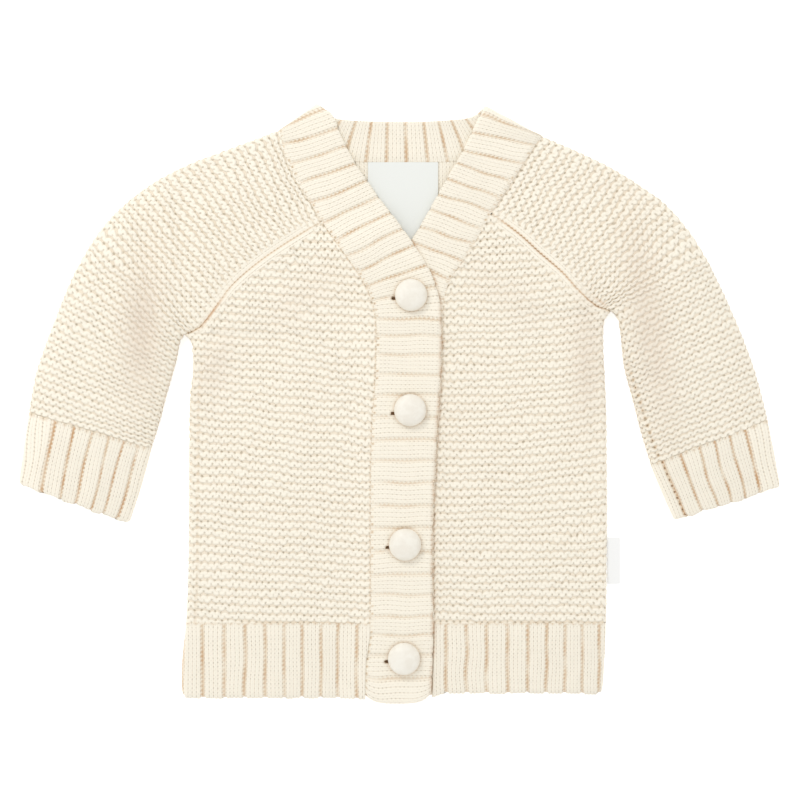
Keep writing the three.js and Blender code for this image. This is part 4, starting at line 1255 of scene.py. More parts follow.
# %% Make the sleeves and cuffs
right_shape = {
    "table": through_rows(SLEEVE_COLUMNS, RIGHT_SLEEVE, "number"),
    "underarm": RIGHT_UNDERARM,
    "neck": BACK_NECK_RIGHT,
    "raglan": right_raglan,
    "band": buttonhole_band,
    "seam_shift": 0.0,
}
left_shape = {
    "table": through_rows(SLEEVE_COLUMNS, LEFT_SLEEVE, "number"),
    "underarm": LEFT_UNDERARM,
    "neck": BACK_NECK_LEFT,
    "raglan": left_raglan,
    "band": button_band,
    "seam_shift": LEFT_SEAM_SHIFT,
}
pieces["sleeve_right"] = sleeve("sleeve_right", right_shape, 70)
pieces["sleeve_left"] = sleeve("sleeve_left", left_shape, 80)
right_table = through_rows(SLEEVE_COLUMNS, RIGHT_CUFF, "number")
left_table = through_rows(SLEEVE_COLUMNS, LEFT_CUFF, "number")
pieces["cuff_right"] = cuff("cuff_right", right_table, CUFF_GROOVES_RIGHT, 0, 90)
pieces["cuff_left"] = cuff("cuff_left", left_table, CUFF_GROOVES_LEFT, LEFT_SEAM_SHIFT, 95)
print("sleeve:", len(pieces["sleeve_left"].data.polygons), "faces")

# %% [markdown]
# ## The neckbands and plackets
#
# The front bands are picked up along the neck and the front edges and knitted outwards, so their ribs run
# across them. The table gives where the grooves between the ribs start and end round the neck, and their
# levels further down.

# %% Bands
RIGHT_NECK_GROOVES = [
    (-61.9, 154.0, -44.5, 160.2),
    (-59.1, 145.6, -38.4, 150.6),
    (-58.0, 134.4, -32.8, 141.1),
    (-52.4, 123.8, -25.5, 132.7),
    (-43.8, 114.2, -21.0, 121.5),
    (-37.2, 104.2, -13.2, 113.4),
    (-30.0, 94.0, -7.0, 104.6),
    (-25.7, 84.0, 0.4, 95.6),
    (-20.1, 75.0, 6.3, 86.4),
    (-15.8, 66.0, 14.2, 76.3),
    (-14.2, 57.0, 21.0, 65.0),
]
RIGHT_LEVELS = [
    46.5, 37.5, 26.9, 15.7, 4.5, -7.8, -20.2, -31.9, -44.2, -57.1, -69.4, -82.3, -95.2, -106.4, -118.7,
    -128.8, -140.2, -151.8,
]
LEFT_NECK_GROOVES = [
    (78.0, 151.0, 47.9, 158.5),
    (75.9, 143.3, 42.6, 149.7),
    (69.3, 132.9, 35.6, 140.6),
    (62.5, 123.3, 32.0, 133.0),
    (56.5, 113.7, 26.5, 124.9),
    (52.0, 106.4, 22.0, 116.3),
    (45.7, 97.2, 17.0, 108.1),
    (41.2, 88.5, 11.5, 97.7),
    (35.1, 79.3, 5.9, 89.6),
    (28.6, 68.4, 1.0, 80.0),
    (25.0, 57.0, -6.6, 68.0),
]
LEFT_LEVELS = [
    46, 34.6, 23.2, 11.8, 0.4, -11, -22.4, -33.8, -45.2, -56.6, -68, -79.4, -90.8, -102.2, -113.6, -125,
    -136.4, -148,
]
BACK_GROOVES = [-50.5, -38.6, -27.7, -17.1, -7.0, 3.6, 14.8, 24.4, 33.3, 44.4, 57.0]
SLOT_LEFT = 9.9
SLOT_DROP = 1.8
SLOT_RIGHT = 1.3


print(
    "ribs of the bands:",
    len(RIGHT_LEVELS) + len(RIGHT_NECK_GROOVES),
    "and",
    len(LEFT_LEVELS) + len(LEFT_NECK_GROOVES),
)

# %% Grooves and points of a front band


def groove_ways(band, neck_grooves, band_levels):
    """For each groove, how far along the band it starts at the seam and ends at the free edge."""
    fine = np.linspace(0, band.length, 3000)
    places = band.at(fine)
    at_seam, at_free = [], []
    for seam_x, seam_y, free_x, free_y in neck_grooves:
        at_seam.append(fine[np.hypot(places["seam_x"] - seam_x, places["seam_y"] - seam_y).argmin()])
        at_free.append(fine[np.hypot(places["free_x"] - free_x, places["free_y"] - free_y).argmin()])
    for level in band_levels:
        at_seam.append(fine[np.abs(places["seam_y"] - level).argmin()])
        at_free.append(fine[np.abs(places["free_y"] - level).argmin()])
    at_seam, at_free = np.array(at_seam), np.array(at_free)
    numbers = np.arange(1, len(at_seam) + 1)
    first = numbers[0] - (at_seam[0] + at_free[0]) / 2 / RIB_PITCH
    last = numbers[-1] + (band.length - at_seam[-1]) / RIB_PITCH
    return (
        np.concatenate([[first], numbers, [last]]),
        np.concatenate([[0], at_seam, [band.length]]),
        np.concatenate([[0], at_free, [band.length]]),
    )


def band_points(band, grooves, along, across, face, bulge, lifted, seed):
    """One face of a front band: points, place in ribs, and distances from the seam, free edge and bottom."""
    numbers, at_seam, at_free = grooves
    number = np.interp(along, (at_seam + at_free) / 2, numbers)
    seam_way = np.interp(number, numbers, at_seam)[:, None]
    free_way = np.interp(number, numbers, at_free)[:, None]
    seam, free = band.at(seam_way), band.at(free_way)
    t = across[None, :]
    way = mix(seam_way, free_way, t)
    width = np.hypot(seam["seam_x"] - free["free_x"], seam["seam_y"] - free["free_y"])
    x = mix(seam["seam_x"], free["free_x"], t)
    y = mix(seam["seam_y"], free["free_y"], t)
    y = y - bulge * (1 - (2 * t - 1) ** 4) * ease((way - band.length + 14) / 14)
    radius = RADIUS_OUT if face == "out" else RADIUS_IN
    from_fold = np.clip(along[:, None] - (RADIUS_OUT - radius), 0, radius)
    height = np.maximum(np.sqrt(radius**2 - (radius - from_fold) ** 2), SEAM / 2)
    natural = band.at(way)
    z = MIDDLE + height + (lift_at(natural["seam_y"]) if lifted else 0) + fold_height(x, y)
    from_seam, from_free = t * width, (1 - t) * width
    from_bottom = band.length - along[:, None] + 0 * t
    if face == "out":
        free = np.maximum(round_off(from_free, FREE_ROUND), round_off(from_bottom, FREE_ROUND))
        z = z - np.maximum(round_off(from_seam), free)
    rib = number[:, None] + 0.04 * wander(x, y, 18, seed)
    return np.stack([x, y, z], axis=-1), rib, from_seam, from_free, from_bottom


print("plackets bulge by", BAND_BULGE, "mm between their edges")

# %% Ribs and buttonholes on a front band


def slot_distance(x, y, place):
    nearest = np.clip(x, place[0] - SLOT_LEFT, place[0] + SLOT_RIGHT)
    return np.hypot(x - nearest, y - place[1] + SLOT_DROP)


def band_ways(start, end, step):
    return np.concatenate([FOLD_ROLL, spaced(start + RADIUS_OUT, end, step, False, True)])


def other_free_x(y):
    """Where the free edge of the buttonhole band lies, at a level."""
    return np.interp(-y, -placket["free_y"], placket["free_x"])


def front_band(name, band, grooves, ways, across, bulge, lifted, slots, seed, underneath=False):
    points, rib, from_seam, from_free, from_bottom = band_points(
        band, grooves, ways, across, "out", bulge, lifted, seed
    )
    outer = Grid(points, ways / band.length)
    px, py = points[..., 0].copy(), points[..., 1].copy()
    weight = mix(0.9, 0.82, ease((56 - py) / 24))
    ribs(outer, rib, from_seam + 0.3 * wander(px, py, 20, seed + 1), 0.5, weight, 0.06, 0.25)
    # Less painted shade in the grooves of the placket than round the neck.
    outer.finish[..., 2] *= mix(1.05, 0.58, ease((56 - py) / 24))
    outer.shade[..., 2] *= mix(1, 0.5, ease((56 - py) / 24))
    profile = rib_profile(rib)
    edge = ease(np.minimum(from_seam, from_free) / 2.2)
    covered = ease((other_free_x(py) - px) / 3) if underneath else 0
    outer.finish[..., 1] = mix(outer.finish[..., 1], 1.0, covered)
    # Painted shadow of the placket's edge on this band.
    if underneath:
        outer.shade[..., 2] = np.maximum(outer.shade[..., 2], placket_shadow(px, py, seed + 4))
    rise = RIB_HEIGHT * profile * mix(0.3, 1, edge) + 0.12 * wander(px, py, 30, seed + 3)
    points[..., 2] += rise * (1 - covered)
    out_x, out_y = px[:, -1:] - px[:, :1], py[:, -1:] - py[:, :1]
    out_length = np.hypot(out_x, out_y)
    scallop = 0.55 * (profile - 0.7) * (1 - ease(from_free / 4))
    points[..., 0] += scallop * out_x / out_length
    points[..., 1] += scallop * out_y / out_length
    # Less painted shade in the grooves near the seam.
    outer.finish[..., 2] *= mix(0.35, 1, ease(from_seam / 9))
    # Painted shade along the seam and in the pick-up holes.
    seam = (1 - ease(from_seam / 0.8)) * 0.14
    holes = 1 - ease((np.abs((rib * 3) % 1 - 0.5) - 0.1) / 0.12)
    holes *= np.exp(-(((from_seam - 0.9) / 0.7) ** 2))
    holes *= np.clip(0.55 + 0.8 * wander(px, py, 9, seed + 9), 0, 1)
    outer.finish[..., 2] = np.maximum(outer.finish[..., 2], np.maximum(seam, 1.1 * holes))
    if slots:
        # Painted shade on the placket's own free edge.
        own_edge = 0.6 * placket_shadow(px, py, seed + 4) * ease((62 - py) / 10)
        outer.shade[..., 2] = np.maximum(outer.shade[..., 2], own_edge)
        for place in BUTTONS.values():
            distance = slot_distance(px, py, place)
            pit = 1 - ease((distance - 0.65) / 0.5)
            rim = np.exp(-(((distance - 1.9) / 0.7) ** 2))
            from_button = np.hypot(px - place[0], py - place[1])
            # A painted shadow ring round each button.
            outer.shade[..., 2] += 0.25 * np.exp(-(((from_button - 9.0) / 1.0) ** 2))
            points[..., 2] += 0.35 * rim - 1.5 * pit
            # The darkest painted shade in each buttonhole.
            outer.finish[..., 2] = np.maximum(outer.finish[..., 2] * (1 - rim), 1.6 * pit)
            outer.finish[..., 0] *= 1 - 0.8 * pit
    ways = np.concatenate([[2.62, 2.8], np.linspace(3.4, band.length, 90)])
    points, _, _, _, _ = band_points(band, grooves, ways, np.linspace(0, 1, 6), "in", bulge, lifted, seed)
    return shell(name, outer, Grid(points, shares(ways)))


print("buttonholes:", len(BUTTONS))

# %% Make the front bands
BAND_SPAN = 35
across = spaced(0, BAND_SPAN, 0.62) / BAND_SPAN
pieces["buttonhole_band"] = front_band(
    "buttonhole_band",
    buttonhole_band,
    groove_ways(buttonhole_band, RIGHT_NECK_GROOVES, RIGHT_LEVELS),
    band_ways(0, buttonhole_band.length, 0.6),
    across,
    BAND_BULGE,
    True,
    True,
    110,
)
hidden = spaced(118, button_band.length, 1.6, False, True)
pieces["button_band"] = front_band(
    "button_band",
    button_band,
    groove_ways(button_band, LEFT_NECK_GROOVES, LEFT_LEVELS),
    np.concatenate([band_ways(0, 117, 0.6), hidden]),
    across,
    0,
    False,
    False,
    120,
    underneath=True,
)


print("length of the button band:", round(button_band.length), "mm")

# %% Back neckband
BACK_BAND_SPAN = 20


def back_neck_y(x):
    middle = (BACK_NECK_RIGHT[0] + BACK_NECK_LEFT[0]) / 2
    half = (BACK_NECK_LEFT[0] - BACK_NECK_RIGHT[0]) / 2
    return BACK_NECK_RIGHT[1] - BACK_NECK_SAG * (1 - ((x - middle) / half) ** 2) - 0.1


BACK_NECKBAND = [
    (-66.9, 152.3, -46.2, 167.0),
    (-57.5, 145.5, -40.0, 161.2),
    (-48.0, back_neck_y(-48), -34.6, 158.8),
    (-31.0, back_neck_y(-31), -24.0, 157.8),
    (-10.0, back_neck_y(-10), -9.0, 157.2),
    (14.0, back_neck_y(14), 12.0, 157.2),
    (35.0, back_neck_y(35), 27.0, 158.0),
    (52.0, back_neck_y(52), 37.0, 159.0),
    (65.6, 143.8, 42.6, 161.0),
    (79.2, 149.0, 47.9, 166.0),
]
BACK_BAND_LAP = 1.6
back_neckband = Band(BACK_NECKBAND)


def back_band_points(along, across, face):
    row = back_neckband.at(along[:, None])
    t = across[None, :]
    x, y = mix(row["seam_x"], row["free_x"], t), mix(row["seam_y"], row["free_y"], t)
    width = np.hypot(row["seam_x"] - row["free_x"], row["seam_y"] - row["free_y"])
    radius = RADIUS_OUT if face == "out" else RADIUS_IN
    from_fold = np.minimum(along, back_neckband.length - along)[:, None]
    from_fold = np.clip(from_fold - (RADIUS_OUT - radius), 0, radius)
    height = np.maximum(np.sqrt(radius**2 - (radius - from_fold) ** 2), SEAM / 2)
    z = MIDDLE - height + 0 * t
    return np.stack([x, y, z], axis=-1), t * width, (1 - t) * width


def back_band_piece():
    length = back_neckband.length
    inner_start = RADIUS_OUT - RADIUS_IN
    even = np.linspace(0, length, 800)
    row = back_neckband.at(even)
    middle = (row["seam_x"] + row["free_x"]) / 2

    def place_in_ribs(way, from_seam):
        middle_x = np.interp(way, even, middle)
        numbers = np.arange(-1, len(BACK_GROOVES) + 1)
        return np.interp(middle_x, [-60.5, *BACK_GROOVES, 68], numbers)[:, None] + 0 * from_seam

    way = np.linspace(inner_start, length - inner_start, 250)
    points, from_seam, from_free = back_band_points(
        way, spaced(0, BACK_BAND_SPAN, 0.6) / BACK_BAND_SPAN, "in"
    )
    upper = Grid(points, shares(way))
    rib = place_in_ribs(way, from_seam)
    ribs(upper, rib, from_seam, 0.5)
    ends = ease(np.minimum(way - way[0], way[-1] - way) / 3)[:, None]
    edge = round_off(from_free, FREE_ROUND)
    points[..., 2] += 0.7 * rib_profile(rib) * ends * ease(from_seam / 4) + 0.15
    points[..., 2] -= edge + 0.8 * round_off(from_seam)
    points[..., 1] -= BACK_BAND_LAP * ends * np.clip(1 - from_seam / 12, 0, 1)
    upper.finish[..., 0] *= ends
    # Darker painted shade in the grooves, and painted shade along the seam.
    upper.finish[..., 2] = np.minimum(upper.finish[..., 2] * 1.3, DARKEST_GROOVE)
    seam = (1 - ease(from_seam / 1.0)) * 0.12
    upper.finish[..., 2] = np.maximum(upper.finish[..., 2], seam)
    way = np.concatenate(
        [FOLD_ROLL, np.linspace(RADIUS_OUT, length - RADIUS_OUT, 170), (length - FOLD_ROLL)[::-1]]
    )
    points, from_seam, from_free = back_band_points(
        way, spaced(0, BACK_BAND_SPAN, 0.8) / BACK_BAND_SPAN, "out"
    )
    points[..., 2] += np.maximum(round_off(from_seam), round_off(from_free)) * 0.8
    under = Grid(points, way / length)
    rib = place_in_ribs(way, from_seam)
    ribs(under, rib, from_seam, 1.0)
    points[..., 2] += 0.6 * (1 - rib_profile(rib)) * (1 - ease(points[..., 2] / 1.5))
    return shell("back_neckband", upper, under)


pieces["back_neckband"] = back_band_piece()
for name in ("buttonhole_band", "button_band", "back_neckband"):
    print(name, len(pieces[name].data.polygons), "faces")

# %% [markdown]
# ## Maths with sockets
#
# The stitches are one formula, used twice: Geometry Nodes raise the cloth by it, and the material paints
# shade into its hollows by it. The class below lets us write the formula as ordinary maths, for either kind
# of node tree.

# %% A socket to calculate with


class Value:
    """A number in a node tree. Sums with it add maths nodes to the tree."""

    def __init__(self, tree, socket):
        self.tree, self.socket = tree, socket

    def _maths(self, operation, *values):
        node = self.tree.nodes.new("ShaderNodeMath")
        node.operation = operation
        connect(self.tree, node.inputs, values)
        return Value(self.tree, node.outputs[0])

    def __add__(self, other):
        return self._maths("ADD", self, other)

    def __radd__(self, other):
        return self._maths("ADD", other, self)

    def __sub__(self, other):
        return self._maths("SUBTRACT", self, other)

    def __rsub__(self, other):
        return self._maths("SUBTRACT", other, self)

    def __mul__(self, other):
        return self._maths("MULTIPLY", self, other)

    def __rmul__(self, other):
        return self._maths("MULTIPLY", other, self)

    def __truediv__(self, other):
        return self._maths("DIVIDE", self, other)

    def __abs__(self):
        return self._maths("ABSOLUTE", self)

    def fraction(self):
        return self._maths("FRACT", self)

    def floor(self):
        return self._maths("FLOOR", self)

    def root(self):
        return self._maths("SQRT", self)

    def at_least(self, other):
        return self._maths("MAXIMUM", self, other)

    def at_most(self, other):
        return self._maths("MINIMUM", self, other)

    def smooth(self, low, high):
        """0 below low, 1 above high, and an even curve between."""
        t = ((self - low) / (high - low)).at_least(0).at_most(1)
        return t * t * (3 - 2 * t)


def connect(tree, sockets, values):
    for key, value in values.items() if isinstance(values, dict) else enumerate(values):
        if isinstance(value, Value):
            tree.links.new(value.socket, sockets[key])
        else:
            sockets[key].default_value = value


def add_node(tree, kind, inputs=(), output=0, **settings):
    node = tree.nodes.new(kind)
    for name, setting in settings.items():
        setattr(node, name, setting)
    connect(tree, node.inputs, inputs)
    return Value(tree, node.outputs[output])


print("maths ready")

# %% [markdown]
# ## The shape of a stitch
#
# A garter row shows as two lines of loops, one bulging up and one bulging down, half a stitch apart. A knit
# column is a chain of small V shapes, made of two leaning grains of yarn.

# %% Formulas of the stitches
GRAIN = 0.22


def loops(u, v, centre, bend):
    reach = abs(u.fraction() - 0.5) * 2
    q = reach * reach
    off = ((v - centre - bend * q + 0.5).fraction() - 0.5) / GRAIN
    return (1 - off * off).at_least(0).root() * (1 - 0.62 * q * q)


def garter_height(u, v):
    return loops(u, v, 0.71, -0.2).at_least(loops(u + 0.5, v, 0.29, 0.2))


def column_height(u, v):
    across = abs(u.fraction() - 0.5)
    leg = (across - 0.24) * 4.1
    grain = ((v - across * 1.2).fraction() - 0.5) * 2
    return (1 - leg * leg).at_least(0).root() * (0.35 + 0.65 * (1 - 0.95 * grain * grain).root())


def dots(u, v, centre_u, centre_v, half_u, half_v):
    """Small hollows in rows, for painted shade: 1 in the middle of each and 0 around it."""
    du = ((u - centre_u + 0.5).fraction() - 0.5) / half_u
    dv = ((v - centre_v + 0.5).fraction() - 0.5) / half_v
    return (1 - du * du - dv * dv).at_least(0).root()


def garter_hollows(u, v):
    """Dots of painted shade: strong ones in the valleys between the ridges, and faint ones half a stitch off
    in between.
    """
    valley = dots(u, v, 0.0, -0.08, 0.2, 0.15)
    between = dots(u, v, 0.5, 0.42, 0.18, 0.13)
    return valley.at_least(between * 0.65)


def column_hollows(u, v):
    """Dots of painted shade between the columns, and faint ones down the middle of each column."""
    return dots(u, v, 0.0, 0.0, 0.17, 0.26).at_least(dots(u, v, 0.5, 0.5, 0.12, 0.22) * 0.35)


def knit_height(stitch, column):
    """The height of the knitting, 0 to 1, from the two places in the pattern."""
    (u, v, garter), (column_u, column_v, columns) = stitch, column
    return garter_height(u, v) * garter + column_height(column_u, column_v) * columns


def parts(vector):
    tree = vector.tree
    node = tree.nodes.new("ShaderNodeSeparateXYZ")
    tree.links.new(vector.socket, node.inputs[0])
    return [Value(tree, output) for output in node.outputs]


print("grain:", GRAIN, "of a row")

# %% Relief of the stitches, as Geometry Nodes


def relief_tree():
    tree = bpy.data.node_groups.new("Knitted relief", "GeometryNodeTree")
    kinds = {
        "Geometry": "Geometry",
        "Relief": "Float",
        "Unevenness": "Float",
        "Seed": "Int",
        "Material": "Material",
    }
    for name, kind in kinds.items():
        tree.interface.new_socket(name, in_out="INPUT", socket_type=f"NodeSocket{kind}")
    tree.interface.new_socket("Geometry", in_out="OUTPUT", socket_type="NodeSocketGeometry")
    group = tree.nodes.new("NodeGroupInput")
    given = {output.name: Value(tree, output) for output in group.outputs if output.name}

    def named(name):
        node = tree.nodes.new("GeometryNodeInputNamedAttribute")
        node.data_type = "FLOAT_VECTOR"
        node.inputs["Name"].default_value = name
        return parts(Value(tree, node.outputs["Attribute"]))

    stitch, column, finish = named("stitch"), named("column"), named("finish")
    height = knit_height(stitch, column)
    number = add_node(
        tree, "ShaderNodeCombineXYZ", [stitch[0].floor(), (stitch[1] * 2).floor(), given["Seed"]]
    )
    chance = add_node(tree, "ShaderNodeTexWhiteNoise", {"Vector": number}, noise_dimensions="3D")
    uneven = 1 + (chance - 0.5) * given["Unevenness"] * stitch[2]
    lift = (height * uneven - finish[1]) * finish[0] * given["Relief"]
    normal = add_node(tree, "GeometryNodeInputNormal")
    offset = add_node(tree, "ShaderNodeVectorMath", operation="SCALE")
    tree.links.new(normal.socket, offset.socket.node.inputs[0])
    tree.links.new(lift.socket, offset.socket.node.inputs["Scale"])
    raised = add_node(tree, "GeometryNodeSetPosition", {"Geometry": given["Geometry"], "Offset": offset})
    real = add_node(tree, "GeometryNodeRealizeInstances", {"Geometry": raised})
    finished = add_node(tree, "GeometryNodeSetMaterial", {"Geometry": real, "Material": given["Material"]})
    end = tree.nodes.new("NodeGroupOutput")
    tree.links.new(finished.socket, end.inputs[0])
    return tree


def apply_nodes(piece, tree, inputs):
    """Runs a node tree on a piece with named inputs, and keeps the result as its plain mesh."""
    modifier = piece.modifiers.new(tree.name, "NODES")
    modifier.node_group = tree
    for item in tree.interface.items_tree:
        if item.item_type == "SOCKET" and item.in_out == "INPUT" and item.name in inputs:
            modifier[item.identifier] = inputs[item.name]
    evaluated = piece.evaluated_get(bpy.context.evaluated_depsgraph_get())
    mesh = bpy.data.meshes.new_from_object(evaluated)
    piece.modifiers.remove(modifier)
    old = piece.data
    piece.data = mesh
    mesh.name = piece.name
    bpy.data.meshes.remove(old)


# %% [markdown]
# ## The yarn
#
# The material repeats the stitch formula. Low places are painted a warm tan as shade, since light that
# reaches them has passed through the cotton, and crests are cream. More painted shade darkens the dots
# between stitches, the grooves, the seams and the folds. Each stitch differs a little in how dark it is, and
# fine fibres roughen all of it.

# %% Knit material
# CREAM is the yarn's colour. TAN, GREY, SHADOW, BROWN and DEEP are painted shade: tan in hollows, grey in
# gaps between stitches, soft shade over folds, brown lines along creases, seams and edges, and the darkest
# shade in deep grooves and buttonholes.
CREAM = (0.945, 0.888, 0.766, 1)
TAN = (0.66, 0.49, 0.31, 1)
GREY = (0.4, 0.33, 0.235, 1)
SHADOW = (0.76, 0.645, 0.53, 1)
BROWN = (0.54, 0.275, 0.105, 1)
DEEP = (0.2, 0.115, 0.06, 1)


def mix_colour(factor, low, high):
    mixed = add_node(factor.tree, "ShaderNodeMix", output="Result", data_type="RGBA", clamp_factor=True)
    node = mixed.socket.node
    factor.tree.links.new(factor.socket, node.inputs[0])
    for socket, colour in ((node.inputs[6], low), (node.inputs[7], high)):
        if isinstance(colour, Value):
            factor.tree.links.new(colour.socket, socket)
        else:
            socket.default_value = colour
    return Value(factor.tree, node.outputs[2])


def new_material(name):
    material = bpy.data.materials.new(name)
    material.use_nodes = True
    return material, material.node_tree, material.node_tree.nodes["Principled BSDF"]


def dress(tree, surface, colour, roughness, height, strength, distance, **more):
    """Gives a surface its colour and roughness, and a bump from a height."""
    bump = add_node(
        tree, "ShaderNodeBump", {"Height": height, "Strength": strength, "Distance": distance}, "Normal"
    )
    connect(tree, surface.inputs, {"Base Color": colour, "Roughness": roughness, "Normal": bump, **more})


def knit_material():
    material, tree, surface = new_material("knit")

    def named(name):
        return parts(add_node(tree, "ShaderNodeAttribute", output="Vector", attribute_name=name))

    stitch, column, finish, shade = named("stitch"), named("column"), named("finish"), named("shade")
    height = knit_height(stitch, column)
    place = add_node(tree, "ShaderNodeTexCoord", output="Object")
    number = add_node(tree, "ShaderNodeCombineXYZ", [stitch[0].floor(), (stitch[1] * 2).floor(), 0])
    chance = add_node(tree, "ShaderNodeTexWhiteNoise", {"Vector": number}, noise_dimensions="3D")
    fibre = add_node(tree, "ShaderNodeTexNoise", {"Vector": place, "Scale": 1700.0, "Detail": 3.0})
    patch = add_node(tree, "ShaderNodeTexNoise", {"Vector": place, "Scale": 45.0, "Detail": 2.0})
    # Painted shade in the hollows of the loops and between the columns.
    loop_hollow = (1 - garter_height(stitch[0], stitch[1]).smooth(0.05, 0.75)) * stitch[2]
    between = (abs(column[0].fraction() - 0.5)).smooth(0.28, 0.5)
    rib_hollow = (1 - column_height(column[0], column[1]).smooth(0.05, 0.5)) * column[2]
    rib_hollow = rib_hollow * (0.45 + 0.75 * between)
    rib_number = add_node(tree, "ShaderNodeCombineXYZ", [column[0].floor(), column[1].floor(), 0])
    rib_chance = add_node(tree, "ShaderNodeTexWhiteNoise", {"Vector": rib_number}, noise_dimensions="3D")
    # Painted shade in the gaps between stitches, darker where stitches gather.
    loop_dots = garter_hollows(stitch[0], stitch[1]) * (0.2 + 0.7 * chance + 0.5 * shade[1]) * stitch[2]
    rib_dots = column_hollows(column[0], column[1]) * (0.08 + 0.55 * rib_chance) * column[2]
    # Painted shade in hollows, grooves, seams and holes, with the yarn's own uneven patches and fibres.
    shade_and_tone = loop_hollow * 0.31 + rib_hollow * 0.46 + finish[2] * 0.85
    shade_and_tone = (shade_and_tone + (patch - 0.5) * 0.1 + (fibre - 0.5) * 0.35).at_least(0)
    colour = mix_colour(shade_and_tone.at_most(1), CREAM, TAN)
    colour = mix_colour(loop_dots + rib_dots, colour, GREY)
    # Painted soft shade over folds, then painted shade lines, then the darkest painted shade in deep grooves
    # and buttonholes.
    colour = mix_colour(shade[0] * 0.6, colour, SHADOW)
    colour = mix_colour(shade[2] * 0.8, colour, BROWN)
    colour = mix_colour(((finish[2] - 0.89) * 4).at_least(0), colour, DEEP)
    height = height * (0.27 + 0.23 * stitch[2]) + fibre * 0.16
    extra = {"Specular IOR Level": 0.15, "Sheen Weight": 0.12}
    dress(tree, surface, colour, 0.92, height, 0.8, 0.9 * MM, **extra)
    return material


knit = knit_material()
relief = relief_tree()
for number, (name, piece) in enumerate(pieces.items()):
    apply_nodes(piece, relief, {"Relief": MM, "Unevenness": 0.45, "Seed": number, "Material": knit})
print("knitted pieces:", len(pieces))

# %% [markdown]
# ## Buttons and labels
#
# The four buttons are smooth domes with a shank underneath. The labels are plain woven tape, left bare.

# %% Buttons
BUTTON_RADIUS = 8.9
BUTTON_HEIGHT = 6.2
SHANK_RADIUS = 0.9
BUTTON_UNDER = MIDDLE + RADIUS_OUT + LIFT + RIB_HEIGHT + SEAM
SHANK_FOOT = MIDDLE + RADIUS_OUT + SEAM
TURNS = 72


def button_profile():
    """Radius and height from the shank's foot, out under the button, round its rim and over the dome."""
    profile = [
        (0, SHANK_FOOT), (SHANK_RADIUS, SHANK_FOOT), (SHANK_RADIUS, BUTTON_UNDER - 0.1), (1.4, BUTTON_UNDER)
    ]
    profile += [(6.0, BUTTON_UNDER), (7.6, BUTTON_UNDER + 0.1)]
    for angle in np.linspace(-0.9, math.pi / 2, 22):
        rise = 1.5 + (BUTTON_HEIGHT - 1.5) * math.sin(angle) if angle > 0 else 1.5 + 1.5 * math.sin(angle)
        profile.append((BUTTON_RADIUS * max(math.cos(angle), 0) ** 0.82, BUTTON_UNDER + rise))
    return profile


def shell_material():
    material, tree, surface = new_material("button")
    place = add_node(tree, "ShaderNodeTexCoord", output="Object")
    cloud = add_node(tree, "ShaderNodeTexNoise", {"Vector": place, "Scale": 220.0, "Detail": 2.0})
    colour = mix_colour(cloud.smooth(0.35, 0.7), (0.84, 0.795, 0.705, 1), (0.885, 0.85, 0.765, 1))
    dress(tree, surface, colour, 0.42, cloud, 0.5, 0.9 * MM)
    return material


def button(name, place, material):
    profile = button_profile()
    turn = np.linspace(0, math.tau, TURNS, endpoint=False)
    rings = np.array(profile[1:-1])
    x = place[0] + rings[:, :1] * np.cos(turn)
    y = place[1] + rings[:, :1] * np.sin(turn)
    z = rings[:, 1:] + 0 * x
    points = np.stack([x, y, z], axis=-1).reshape(-1, 3)
    tips = np.array([(*place, profile[0][1]), (*place, profile[-1][1])])
    count = len(rings)
    corner = np.arange(count - 1)[:, None] * TURNS + np.arange(TURNS)
    after = np.arange(count - 1)[:, None] * TURNS + (np.arange(TURNS) + 1) % TURNS
    quads = np.stack([corner, after, after + TURNS, corner + TURNS], axis=-1).reshape(-1, 4)
    bottom, top = len(points), len(points) + 1
    ring = np.arange(TURNS)
    last = (count - 1) * TURNS
    triangles = [(bottom, (i + 1) % TURNS, i) for i in ring]
    triangles += [(top, last + i, last + (i + 1) % TURNS) for i in ring]
    mesh = mesh_from(name, np.concatenate([points, tips]), quads, triangles)
    mesh.materials.append(material)
    return placed(name, mesh)


pearl = shell_material()
for name, place in BUTTONS.items():
    pieces[name] = button(name, place, pearl)
print("buttons:", len(BUTTONS))

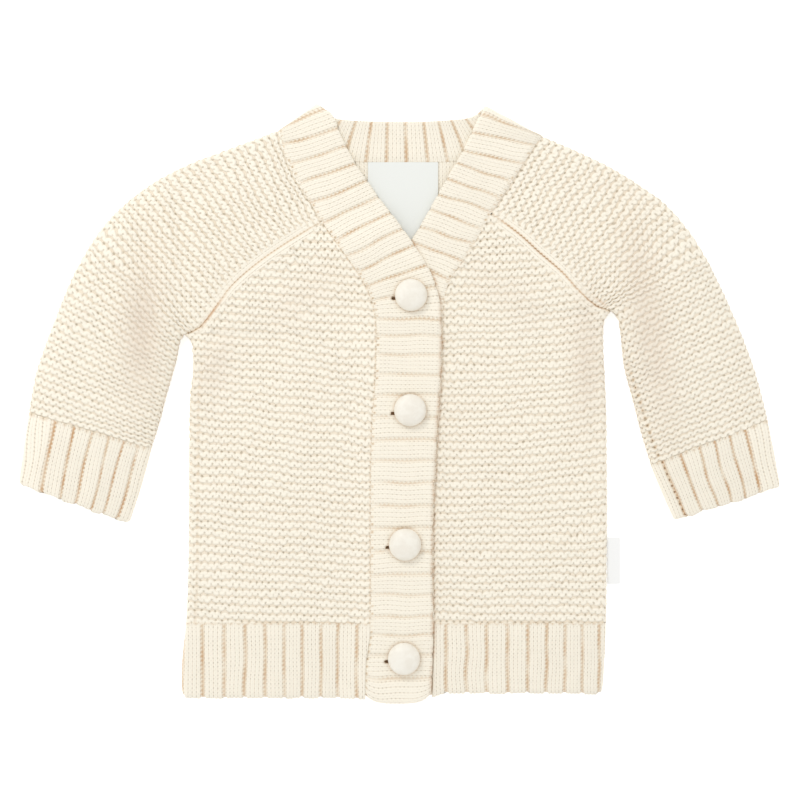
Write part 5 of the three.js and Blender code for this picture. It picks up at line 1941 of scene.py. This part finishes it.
# %% Labels
NECK_LABEL = {"left": -17.6, "right": 21.6, "bottom": 84.0, "top": 134.5, "low": WALL + SEAM, "thick": 0.22}
side_left = float(left_edge(-60)["x"]) + SEAM
SIDE_LABEL = {
    "left": side_left,
    "right": side_left + 7.0,
    "bottom": -101.0,
    "top": -75.0,
    "low": MIDDLE - 0.4,
    "thick": 0.8,
}


def tape_material(name, weft, warp):
    material, tree, surface = new_material(name)
    place = add_node(tree, "ShaderNodeTexCoord", output="Object")
    x, y, _ = parts(place)
    weave = abs((x * (1 / (0.5 * MM))).fraction() - 0.5) + abs((y * (1 / (0.35 * MM))).fraction() - 0.5)
    colour = mix_colour(weave.smooth(0.2, 0.8), weft, warp)
    dress(tree, surface, colour, 0.55, weave, 0.25, 0.1 * MM)
    return material


def tape(name, size, bend, material):
    """A flat tape as a closed shell, its height changed by a function of place."""
    x = spaced(size["left"], size["right"], 0.8)
    y = spaced(size["bottom"], size["top"], 0.8)
    rows = shares(y)
    px, py = np.meshgrid(x, y)
    low = size["low"] + bend(px, py)
    outer = Grid(np.stack([px, py, low + size["thick"]], axis=-1), rows)
    inner = Grid(np.stack([px, py, low], axis=-1), rows)
    piece = shell(name, outer, inner)
    piece.data.materials.append(material)
    return piece


satin = tape_material("neck label", (0.77, 0.785, 0.75, 1), (0.83, 0.845, 0.81, 1))
white = tape_material("side label", (0.87, 0.875, 0.86, 1), (0.92, 0.92, 0.91, 1))


def neck_bend(x, y):
    return 0.05 + 0.05 * np.sin(x / 5) * np.sin(y / 9)


def side_bend(x, y):
    return 0.15 * np.sin((y + 88) / 7) + 0 * x


pieces["neck_label"] = tape("neck_label", NECK_LABEL, neck_bend, satin)
pieces["side_label"] = tape("side_label", SIDE_LABEL, side_bend, white)
print("labels:", 2)

# %% [markdown]
# ## Join the pieces to the frame
#
# Cloth has no joints, so every piece rides on the root. Each stands for the plain piece of the same name.

# %% Ride and replace
for name, piece in pieces.items():
    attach(piece, "root")
    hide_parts(name)
